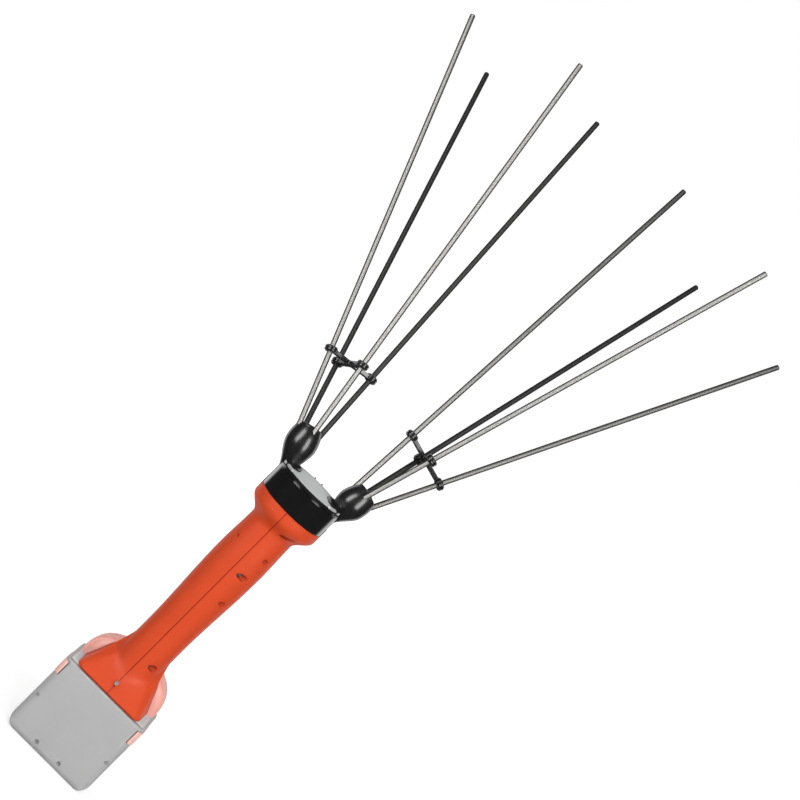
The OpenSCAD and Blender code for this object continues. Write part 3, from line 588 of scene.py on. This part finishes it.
def tubeTree():
    # a round tube along every line of the mesh, as thick as its girth says
    work = startTree("tubeAlongLines", {
        "Lines": "NodeSocketGeometry", "Radius": "NodeSocketFloat",
        "Sides": "NodeSocketInt", "Finish": "NodeSocketMaterial"})
    path = work.node("GeometryNodeMeshToCurve", {}, {"Mesh": work.given("Lines")})
    girth = work.node("GeometryNodeInputNamedAttribute", {"data_type": "FLOAT"}, {"Name": "girth"})
    ring = work.node("GeometryNodeCurvePrimitiveCircle", {"mode": "RADIUS"},
                     {"Resolution": work.given("Sides"), "Radius": work.given("Radius")})
    skin = work.node("GeometryNodeCurveToMesh", {}, {
        "Curve": path, "Profile Curve": ring, "Scale": girth, "Fill Caps": True})
    skin = work.node("GeometryNodeSetShadeSmooth", {}, {"Geometry": skin})
    return endTree(work, skin, work.given("Finish"))


def crossTree():
    # a cross recess on every point
    work = startTree("crossOnPoints", {
        "Points": "NodeSocketGeometry", "Bar": "NodeSocketVector", "CrossBar": "NodeSocketVector",
        "Finish": "NodeSocketMaterial"})
    bar = work.node("GeometryNodeMeshCube", {}, {"Size": work.given("Bar")})
    other = work.node("GeometryNodeMeshCube", {}, {"Size": work.given("CrossBar")})
    cross = work.node("GeometryNodeMeshBoolean", {"operation": "UNION"}, {1: [bar, other]})
    spots = work.node("GeometryNodeMeshToPoints", {}, {"Mesh": work.given("Points")})
    placed = work.node("GeometryNodeInstanceOnPoints", {}, {"Points": spots, "Instance": cross})
    return endTree(work, placed, work.given("Finish"))


tubes, crosses = tubeTree(), crossTree()


def plainMesh(thing, modifier):
    # keeps what the modifier makes as the object's own mesh
    bpy.context.view_layer.update()
    ready = thing.evaluated_get(bpy.context.evaluated_depsgraph_get())
    made = bpy.data.meshes.new_from_object(ready)
    thing.modifiers.remove(modifier)
    thing.data = made


def grow(name, tree, mesh, values):
    # runs a tree on a mesh and keeps the plain result
    thing = addObject(name, mesh)
    maker = thing.modifiers.new(name, "NODES")
    maker.node_group = tree
    for item in tree.interface.items_tree:
        if item.in_out == "INPUT" and item.name in values:
            maker[item.identifier] = values[item.name]
    plainMesh(thing, maker)
    return thing


def lineMesh(name, lines):
    # lines are lists of (place, girth, along, tone)
    points, edges, marks = [], [], {"girth": [], "along": [], "tone": []}
    for line in lines:
        for step, (place, girth, along, tone) in enumerate(line):
            if step:
                edges.append((len(points) - 1, len(points)))
            points.append(place)
            for label, value in zip(marks, (girth, along, tone)):
                marks[label].append(value)
    mesh = bpy.data.meshes.new(name)
    mesh.from_pydata(points, edges, [])
    for label, values in marks.items():
        mesh.attributes.new(label, "FLOAT", "POINT").data.foreach_set("value", values)
    return mesh


def tubePiece(name, lines, radius, sides, body, slot, tone=None):
    # tubes along some lines, as one piece on its body
    piece = grow(name, tubes, lineMesh(name + "Lines", lines), {
        "Radius": radius, "Sides": sides, "Finish": finishes[tone or slot]})
    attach(piece, body)
    return piece


def pegLine(middle, axis, half, girths):
    # a short peg through a point, as thick at each step as its girth says
    last = len(girths) - 1
    return [(middle + axis * half * (2 * k / last - 1), girth, 0.0, 0.0) for k, girth in enumerate(girths)]


print("node trees made")

# Solids that are cut and joined in the script

mergeWithin = 0.000002   # corners of a plain solid closer than this are one


def mergedCopy(name, node):
    # a copy of a plain solid with its corners joined
    mesh = node.data.copy()
    form = bmesh.new()
    form.from_mesh(mesh)
    bmesh.ops.remove_doubles(form, verts=form.verts, dist=mergeWithin)
    form.to_mesh(mesh)
    form.free()
    return addObject(name, mesh)


def carve(thing, tool, operation="DIFFERENCE"):
    # cuts or joins one solid with another and keeps the plain result
    cutter = thing.modifiers.new("carve", "BOOLEAN")
    cutter.object, cutter.operation, cutter.solver = tool, operation, "EXACT"
    plainMesh(thing, cutter)


def solid(name, rings):
    # a skin through rings of points, shut at both ends
    points = [p for ring in rings for p in ring]
    count = len(rings[0])
    faces = []
    for row in range(len(rings) - 1):
        low, high = row * count, (row + 1) * count
        for k in range(count):
            after = (k + 1) % count
            faces.append((low + k, low + after, high + after, high + k))
    faces.append(tuple(reversed(range(count))))
    faces.append(tuple(range(len(points) - count, len(points))))
    mesh = bpy.data.meshes.new(name)
    mesh.from_pydata(points, [], faces)
    form = bmesh.new()
    form.from_mesh(mesh)
    bmesh.ops.recalc_face_normals(form, faces=form.faces)
    form.to_mesh(mesh)
    form.free()
    return addObject(name, mesh)


def circle(radius, sides, high=0.0):
    turns = [math.tau * k / sides for k in range(sides)]
    return [Vector((radius * math.cos(turn), radius * math.sin(turn), high)) for turn in turns]


def roundBar(name, start, end, radius, sides=48):
    # a plain round bar between two points
    start, end = Vector(start), Vector(end)
    turn = (end - start).to_track_quat("Z", "Y")
    ring = [turn @ p for p in circle(radius, sides)]
    return solid(name, [[start + p for p in ring], [end + p for p in ring]])


def block(name, low, high):
    (x0, y0, z0), (x1, y1, z1) = low, high
    flat = [(x0, y0), (x1, y0), (x1, y1), (x0, y1)]
    return solid(name, [[Vector((x, y, z0)) for x, y in flat], [Vector((x, y, z1)) for x, y in flat]])


def discard(*things):
    for thing in things:
        bpy.data.objects.remove(thing)


def settle(thing, slot, body, sharp, *nodes):
    # gives a finished piece its surface, its crisp edges and its body
    thing.data.materials.clear()
    thing.data.materials.append(finishes[slot])
    thing.data.polygons.foreach_set("material_index", [0] * len(thing.data.polygons))
    thing.data.shade_smooth()
    thing.data.set_sharp_from_angle(angle=math.radians(sharp))
    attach(thing, body)
    if nodes:
        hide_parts(*nodes)


def eased(low, high, share):
    return low + (high - low) * (0.5 - 0.5 * math.cos(math.pi * share))


# Rods and their spacers

rods = {
    "sides": 24,
    "steps": 12,
    "tip": 0.0011,                       # length of the rounded end
    "tipBends": (0.4, 0.8, 1.2, 1.57),
    "tipEnd": 0.62,                      # share of the girth left at the very end
    "band": 0.0008,                      # depth of the end rings that give a rod's axis
    "fits": 3,                           # times the axis is fitted again
    "tones": {                           # at foot and tip, from dark graphite to silver: partly the rods' own finish, partly painted reflection of the lamps
        "left_rod_1": (0.80, 0.66), "left_rod_2": (0.10, 0.05),
        "left_rod_3": (0.92, 0.66), "left_rod_4": (0.12, 0.07),
        "right_rod_1": (0.84, 0.10), "right_rod_2": (0.10, 0.05),
        "right_rod_3": (0.80, 0.68), "right_rod_4": (0.66, 0.30),
    },
}


def rodLine(node, size):
    # middle line and radius of a rod, read off its solid
    points = [v.co.copy() for v in node.data.vertices]
    axis = (max(points, key=lambda p: p.z) - min(points, key=lambda p: p.z)).normalized()
    for fit in range(size["fits"]):
        spots = [p.dot(axis) for p in points]
        low, high = min(spots), max(spots)
        feet = [p for p, spot in zip(points, spots) if spot < low + size["band"]]
        tops = [p for p, spot in zip(points, spots) if spot > high - size["band"]]
        foot, top = sum(feet, Vector()) / len(feet), sum(tops, Vector()) / len(tops)
        axis = (top - foot).normalized()
    length = high - low
    foot = foot + axis * (low - foot.dot(axis))
    thick = max((p - foot - axis * (p - foot).dot(axis)).length for p in points)
    straight, end = length - size["tip"], size["tipEnd"]
    steps = [(straight * k / size["steps"], 1.0) for k in range(size["steps"] + 1)]
    steps += [(straight + size["tip"] * math.sin(a), end + (1 - end) * math.cos(a)) for a in size["tipBends"]]
    first, last = size["tones"][node.name]
    line = [(foot + axis * far, girth, far, first + (last - first) * far / length) for far, girth in steps]
    return line, thick


clips = {   # two rounded beads on every ring of a spacer, pegs along its webs
    "near": 0.005,        # the spacer's corners this close to a rod belong to its ring
    "ring": 0.0041,
    "thick": 0.0016,
    "apart": 0.0010,
    "steps": 28,
    "sides": 14,
    "pegHalf": 0.0021,
    "pegAt": (0.42, 0.66),
    "pegGirth": (0.3, 0.85, 1.0, 1.0, 1.0, 0.85, 0.3),
}


def makeClips(side, lines, size):
    points = [v.co.copy() for v in frame["nodes"][side + "_spacer"].data.vertices]
    places = []
    for line in lines:
        foot, axis = line[0][0], (line[-1][0] - line[0][0]).normalized()
        marks = []
        for point in points:
            far = (point - foot).dot(axis)
            if (point - foot - axis * far).length < size["near"]:
                marks.append(far)
        places.append((foot + axis * (min(marks) + max(marks)) / 2, axis))
    beads = []
    for place, axis in places:
        turn = axis.to_track_quat("Z", "Y")
        for shift in (-size["apart"], size["apart"]):
            bead = [place + turn @ p for p in circle(size["ring"], size["steps"], shift)]
            beads.append([(p, 1.0, 0.0, 0.0) for p in bead + bead[:1]])
    hub = sum((place for place, axis in places), Vector()) / len(places)
    upright = sum((axis for place, axis in places), Vector()).normalized()
    for place, axis in places:
        for share in size["pegAt"]:
            beads.append(pegLine(hub + (place - hub) * share, upright, size["pegHalf"], size["pegGirth"]))
    tubePiece(side + "Clips", beads, size["thick"], size["sides"], side + "_arm_set", "spacer_black")


for side in ("left", "right"):
    names = [f"{side}_rod_{k}" for k in (1, 2, 3, 4)]
    measured = [rodLine(frame["nodes"][name], rods) for name in names]
    lines, radius = [line for line, thick in measured], measured[0][1]
    bundle = tubePiece(side + "Rods", lines, radius, rods["sides"], side + "_arm_set", "rod_graphite")
    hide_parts(*names)
    makeClips(side, lines, clips)
print("rods and spacers made")

# What lies on the cap

saddles = {   # black beds that the arms stand in, one at each end of the cap
    "centre": (0.0300, -0.0010),
    "reach": 0.0136,
    "opening": (0.0300, 0.0074),
    "openingReach": {"left": 0.0122, "right": 0.0142},
    "inside": 0.0008,     # how far they stay inside the collar
    "bottom": 0.0003,     # above the cap's underside
    "rise": 0.0005,       # above its top
    "beyond": 0.01,       # cutters go on this far past them
    "sides": 96,
    "rimSides": 160,
    "sharp": 30,
}


def makeSaddles(size):
    capLow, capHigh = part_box("head_cap")
    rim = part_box("head_collar")[1][0] - size["inside"]
    low, high = capLow[2] + size["bottom"], capHigh[2] + size["rise"]
    under, over = low - size["beyond"], high + size["beyond"]
    for side, sign in (("left", -1), ("right", 1)):
        x, y = sign * size["centre"][0], size["centre"][1]
        bed = roundBar(side + "Saddle", (x, y, low), (x, y, high), size["reach"], size["sides"])
        disc = roundBar("disc", (0, 0, under), (0, 0, over), rim, size["rimSides"])
        carve(bed, disc, "INTERSECT")
        x, y = sign * size["opening"][0], size["opening"][1]
        gap = roundBar("gap", (x, y, under), (x, y, over), size["openingReach"][side], size["sides"])
        carve(bed, gap)
        discard(disc, gap)
        settle(bed, "gloss_black", "handle", size["sharp"])


lipBeads = {   # rounded lips where the saddles meet the collar's rim, pale as a painted glint
    "turns": (209.0, 233.0),
    "inside": 0.0016,
    "thick": 0.0014,
    "rise": 0.0002,
    "swell": 2.2,         # how soon the ends come to full girth
    "end": 0.003,
    "steps": 28,
    "sides": 18,
}


def makeLips(size):
    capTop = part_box("head_cap")[1][2] + size["rise"]
    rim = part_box("head_collar")[1][0] - size["inside"]
    first, last = size["turns"]
    arcs = []
    for sign in (-1, 1):
        arc = []
        for step in range(size["steps"] + 1):
            share = step / size["steps"]
            turn = math.radians(first + (last - first) * share)
            place = Vector((-sign * rim * math.cos(turn), rim * math.sin(turn), capTop))
            inward = min(share, 1 - share)
            arc.append((place, min(1.0, size["swell"] * math.sqrt(inward + size["end"])), 0.0, 0.0))
        arcs.append(arc)
    # the lips take a pale finish as a painted glint
    tubePiece("armLips", arcs, size["thick"], size["sides"], "handle", "cap_grey", "lip_painted_glint")


capPegs = {   # two dark pegs in the notches of the cap's far rim
    "across": 0.004,
    "inside": 0.0014,
    "thick": 0.0009,
    "half": 0.0011,
    "girth": (1.0, 1.0, 1.0, 0.9, 0.6, 0.2),
    "sides": 16,
}


def makePegs(size):
    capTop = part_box("head_cap")[1][2]
    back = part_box("head_collar")[1][1] - size["inside"]
    upright = Vector((0, 0, 1))
    places = [Vector((sign * size["across"], back, capTop)) for sign in (-1, 1)]
    pegs = [pegLine(place, upright, size["half"], size["girth"]) for place in places]
    tubePiece("capPegs", pegs, size["thick"], size["sides"], "handle", "matte_black")


makeSaddles(saddles)
makeLips(lipBeads)
makePegs(capPegs)
print("cap dressed")

# Handle

handle = {   # heights are from the lower edge of the foot
    "waist": (0.0608, 0.0201),        # height and radius
    "swell": (0.1553, 0.0233),
    "throat": (0.1923, 0.0222),
    "neck": (0.2083, 0.03375),
    "top": 0.2163,
    "wall": 0.0024,
    "skirt": 0.002,                   # upright edge at the foot's base
    "footHigh": 0.046,
    "footHalf": (0.0354, 0.0336),     # half width and half depth at the base
    "footFlare": 1.3,
    "frontSlope": 0.9,
    "ridgeHalf": 0.0320,              # half width of the front face at the base
    "ridgeSlope": 0.64,
    "sideDeep": 0.030,                # half depth of the side faces at the base
    "sideSlope": 1.1,
    "least": (0.002, 0.001, 0.0004),  # what is left of depth, ridge and sides at the top
    "slant": 0.0002,                  # and of the slanting faces
    "softness": (24, 40),             # larger makes the foot's edges sharper, most so at its base
    "sharpHigh": 0.008,
    "melt": 0.0085,                   # width of the hollow where grip and foot meet
    "toe": (0.003, 0.0022),           # height and depth of the rounding under its edge
    "turns": 176,
    "rows": (3, 56, 90),              # in skirt, foot and grip
    "sharp": 34,
}


def gripRadius(height, size):
    stops = [size["waist"], size["swell"], size["throat"], size["neck"]]
    if height <= stops[0][0]:
        return stops[0][1]
    for (low, first), (high, last) in zip(stops, stops[1:]):
        if height <= high:
            return eased(first, last, (height - low) / (high - low))
    return stops[-1][1]


def footRadius(turn, height, size):
    # distance to the foot's side along one direction: a front, a side and a slanting face
    up = max(0.0, height - size["skirt"])
    if up >= size["footHigh"]:
        return 0.0
    waist = size["waist"][1]
    leastDeep, leastRidge, leastSide = size["least"]
    half = waist + (size["footHalf"][0] - waist) * (1 - up / size["footHigh"]) ** size["footFlare"]
    deep = max(size["footHalf"][1] - size["frontSlope"] * up, leastDeep)
    ridge = max(size["ridgeHalf"] - size["ridgeSlope"] * up, leastRidge)
    side = min(max(size["sideDeep"] - size["sideSlope"] * up, leastSide), deep - size["slant"])
    across, along = abs(math.cos(turn)), abs(math.sin(turn))
    slant = Vector((deep - side, half - ridge)).normalized()
    reach = slant.x * half + slant.y * side
    shares = (across / half, along / deep, (slant.x * across + slant.y * along) / reach)
    soft, sharp = size["softness"]
    power = soft + (sharp - soft) * max(0.0, 1 - up / size["sharpHigh"])
    return sum(max(share, 1e-6) ** power for share in shares) ** (-1 / power)


def handleRadius(turn, height, size):
    # grip and foot with a soft hollow between them, rounded under the foot's edge
    grip, foot = gripRadius(height, size), footRadius(turn, height, size)
    melt = size["melt"] * max(0.0, 1 - height / (size["skirt"] + size["footHigh"]))
    reach = (grip + foot + math.hypot(grip - foot, melt)) / 2 if foot else grip
    toeHigh, toeDeep = size["toe"]
    under = max(0.0, 1 - height / toeHigh)
    return reach - toeDeep * (1 - math.sqrt(1 - under * under))


def handleRings(size, base, inset, longer=0.0):
    skirtRows, footRows, gripRows = size["rows"]
    rows = [size["skirt"] * k / skirtRows for k in range(skirtRows + 1)]
    rows += [size["skirt"] + size["footHigh"] * k / footRows for k in range(1, footRows + 1)]
    rest = rows[-1]
    rows += [rest + (size["top"] - rest) * k / gripRows for k in range(1, gripRows + 1)]
    rings = []
    for height in rows:
        ring = []
        for k in range(size["turns"]):
            turn = math.tau * k / size["turns"]
            reach = handleRadius(turn, height, size) - inset
            ring.append(Vector((reach * math.cos(turn), reach * math.sin(turn), base + height)))
        rings.append(ring)
    if longer:
        rings.insert(0, [p - Vector((0, 0, longer)) for p in rings[0]])
        rings.append([p + Vector((0, 0, longer)) for p in rings[-1]])
    return rings


fittings = {   # what is cut into the handle
    "bossWall": 0.0012,
    "bossSink": 0.0015,               # a boss begins this far under its screw's seat
    "room": 0.0004,                   # gap round a screw head
    "headThick": 0.002,
    "seatRoom": 0.0001,
    "beyond": 0.06,                   # cutters end this far out
    "throughScrew": 3,                # the fourth from below has a hole in the left shell too
    "through": 0.00145,
    "throughSpan": (-0.05, -0.005),
    "throughSides": 32,
    "ventAcross": (-0.005, 0.0, 0.005),
    "ventHalf": 0.0007,
    "ventFrom": 0.1688,
    "ventTo": 0.1758,
    "ventDeep": 0.015,
    "windowHalf": 0.006,
    "windowHigh": 0.032,
    "windowFrom": 0.008,
    "hollowLonger": 0.003,
}


def makeHandle(size, fit):
    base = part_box("left_handle_shell")[0][2]
    skin = solid("handleSkin", handleRings(size, base, 0.0))
    hollow = solid("handleHollow", handleRings(size, base, size["wall"], fit["hollowLonger"]))
    screws = headSpots(frame["nodes"]["shell_screws"], Vector((1, 0, 0)))
    out = Vector((1, 0, 0))
    for spot, radius in screws:
        start = spot - out * (fit["headThick"] + fit["bossSink"])
        boss = roundBar("boss", start, spot + out * fit["beyond"], radius + fit["room"] + fit["bossWall"])
        carve(hollow, boss)
        discard(boss)
    carve(skin, hollow)
    for spot, radius in screws:
        seat = spot - out * (fit["headThick"] + fit["seatRoom"])
        pocket = roundBar("pocket", seat, spot + out * fit["beyond"], radius + fit["room"])
        carve(skin, pocket)
        discard(pocket)
    spot = screws[fit["throughScrew"]][0]
    start, end = [(x, spot.y, spot.z) for x in fit["throughSpan"]]
    hole = roundBar("hole", start, end, fit["through"], fit["throughSides"])
    carve(skin, hole)
    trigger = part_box("trigger")
    middle, high = (trigger[0][2] + trigger[1][2]) / 2, fit["windowHigh"] / 2
    window = block("window", (-fit["windowHalf"], fit["windowFrom"], middle - high),
                   (fit["windowHalf"], fit["beyond"], middle + high))
    carve(skin, window)
    discard(hole, window, hollow)
    for across in fit["ventAcross"]:
        for low, high in ((-fit["beyond"], -fit["ventDeep"]), (fit["ventDeep"], fit["beyond"])):
            slit = block("slit", (low, across - fit["ventHalf"], base + fit["ventFrom"]),
                         (high, across + fit["ventHalf"], base + fit["ventTo"]))
            carve(skin, slit)
            discard(slit)
    settle(skin, "orange_shell", "handle", size["sharp"], "left_handle_shell", "right_handle_shell")


makeHandle(handle, fittings)
print("handle made")

# Dock

dock = {   # the plain dock, cut back in front so that the foot's flanks show
    "cutTo": 0.0040,    # its hood begins here
    "plate": 0.0014,    # height of the plate in front of the hood
    "keep": 0.0012,     # what lies this deep inside the handle stays
    "beyond": 0.01,
    "sharp": 30,
}


def makeDock(size):
    low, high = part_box("battery_dock")
    piece = mergedCopy("dockBody", frame["nodes"]["battery_dock"])
    inner = solid("handleInside", handleRings(handle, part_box("left_handle_shell")[0][2], size["keep"]))
    more = size["beyond"]
    away = block("away", (low[0] - more, low[1] - more, low[2] + size["plate"]),
                 (high[0] + more, size["cutTo"], high[2] + more))
    carve(away, inner)
    carve(piece, away)
    discard(away, inner)
    settle(piece, "pale_dock", "handle", size["sharp"], "battery_dock")


hood = {   # pale rounded hood behind the foot, over the plain one
    "half": 0.0424,
    "crown": 0.0374,
    "shoulder": 0.003,
    "arch": 0.8,        # below 1 makes its arch fuller
    "front": 0.0010,
    "back": 0.0226,
    "lift": 0.0003,
    "soft": 0.0095,     # rounding of its front and back edges
    "softBends": (0.26, 0.52, 0.79, 1.05, 1.31, 1.57),
    "steps": 72,
    "gap": 0.0002,      # to the handle
    "sharp": 40,
}


def makeHood(size):
    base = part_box("battery_dock")[0][2] + size["lift"]
    depth = size["back"] - size["front"]
    stations = [(0.0, 0.0)]   # distance from the front, share of the full outline
    stations += [(size["soft"] * (1 - math.cos(a)), math.sin(a)) for a in size["softBends"]]
    stations += [(depth - far, full) for far, full in reversed(stations)]
    rings = []
    for far, full in stations:
        less = size["soft"] * (1 - full)
        half, y = size["half"] - less, size["front"] + far
        ring = []
        for k in range(size["steps"] + 1):
            turn = math.pi * k / size["steps"]
            arch = (size["crown"] - size["shoulder"] - less) * math.sin(turn) ** size["arch"]
            ring.append(Vector((half * math.cos(turn), y, base + size["shoulder"] + arch)))
        rings.append(ring + [Vector((-half, y, base)), Vector((half, y, base))])
    piece = solid("footHood", rings)
    outer = solid("handleOutside", handleRings(handle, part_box("left_handle_shell")[0][2], -size["gap"]))
    carve(piece, outer)
    discard(outer)
    settle(piece, "pale_dock", "handle", size["sharp"])


makeDock(dock)
makeHood(hood)
print("dock made")

# Rod holders

holder = {   # turned rod holder, measured up its own axis from the pivot
    "neck": (0.005, 0.0052),
    "widest": 0.0142,
    "flare": 1.22,        # above 1 keeps the neck thin for longer
    "below": 0.0120,      # the widest ring is this far under the holder's reach
    "dome": 0.024,
    "domeTo": 0.0135,     # where the dome gives way to the rounded brim
    "brim": 0.0022,
    "top": (0.0002, 0.002),   # rise and radius of the middle of the rod face
    "reach": {"left": 0.0528, "right": 0.0466},
    "tilt": {"left": -13.8, "right": 16.0},
    "lean": {"left": 18.5, "right": 17.2},
    "rows": (24, 12, 6),  # in neck, dome and brim
    "sides": 72,
    "sharp": 50,
}


def holderProfile(swell, size):
    # heights and radii from the neck over the widest ring to the rod face
    low, thin = size["neck"]
    neckRows, domeRows, brimRows = size["rows"]
    profile = []
    for k in range(neckRows + 1):
        share = k / neckRows
        wide = eased(thin, size["widest"], share ** size["flare"])
        profile.append((low + (swell - low) * share, wide))
    for k in range(1, domeRows + 1):
        up = size["domeTo"] * k / domeRows
        profile.append((swell + up, size["widest"] * math.sqrt(1 - (up / size["dome"]) ** 2)))
    edgeHigh, edgeWide = profile[-1]
    for k in range(1, brimRows + 1):
        bend = math.pi / 2 * k / brimRows
        wide = edgeWide - size["brim"] * (1 - math.cos(bend))
        profile.append((edgeHigh + size["brim"] * math.sin(bend), wide))
    rise, middle = size["top"]
    profile.append((profile[-1][0] + rise, middle))
    return profile


def makeHolder(side, size):
    joint = next(j for j in frame["record"]["behaviour"]["joints"] if j["name"] == side + "_arm_swing")
    pivot = Vector(joint["pos_m"])
    tilt, lean = math.radians(size["tilt"][side]), math.radians(size["lean"][side])
    axis = Vector((math.sin(tilt) * math.cos(lean), math.sin(lean), math.cos(tilt) * math.cos(lean)))
    turn = axis.to_track_quat("Z", "Y")
    rings = []
    for high, wide in holderProfile(size["reach"][side] - size["below"], size):
        rings.append([pivot + turn @ p for p in circle(wide, size["sides"], high)])
    piece = solid(side + "Holder", rings)
    settle(piece, "holder_black", side + "_arm_set", size["sharp"], side + "_arm")


for side in ("left", "right"):
    makeHolder(side, holder)
print("rod holders made")

# Release buttons

softEdge = {"width": 0.0016, "segments": 4, "angle": 40.0, "sharp": 50}


def makeButton(side, size):
    piece = mergedCopy(side + "Button", frame["nodes"][side + "_button"])
    edge = piece.modifiers.new("softEdge", "BEVEL")
    edge.width, edge.segments = size["width"], size["segments"]
    edge.limit_method, edge.angle_limit = "ANGLE", math.radians(size["angle"])
    settle(piece, "pale_button", side + "_release", size["sharp"], side + "_button")


for side in ("left", "right"):
    makeButton(side, softEdge)
print("release buttons made")

# Cross recesses of the screws

recess = {
    "length": 0.0021,
    "width": 0.0006,
    "deep": 0.0003,
    "screws": {   # body, the way the heads look, finish
        "shell_screws": ("handle", (1, 0, 0), "dark_screw"),
        "battery_screws": ("battery", (0, -1, 0), "battery_screw"),
    },
}


def makeRecess(name, size):
    body, outward, tone = size["screws"][name]
    out, up = Vector(outward), Vector((0, 0, 1))
    across = Vector([abs(c) for c in out.cross(up)])
    deep = Vector([abs(c) for c in out]) * size["deep"]
    spots = bpy.data.meshes.new(name + "Spots")
    spots.from_pydata([spot for spot, radius in headSpots(frame["nodes"][name], out)], [], [])
    piece = grow(name + "Recess", crosses, spots, {
        "Bar": deep + up * size["length"] + across * size["width"],
        "CrossBar": deep + across * size["length"] + up * size["width"],
        "Finish": finishes[tone]})
    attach(piece, body)


for name in recess["screws"]:
    makeRecess(name, recess)
print("screw recesses made")
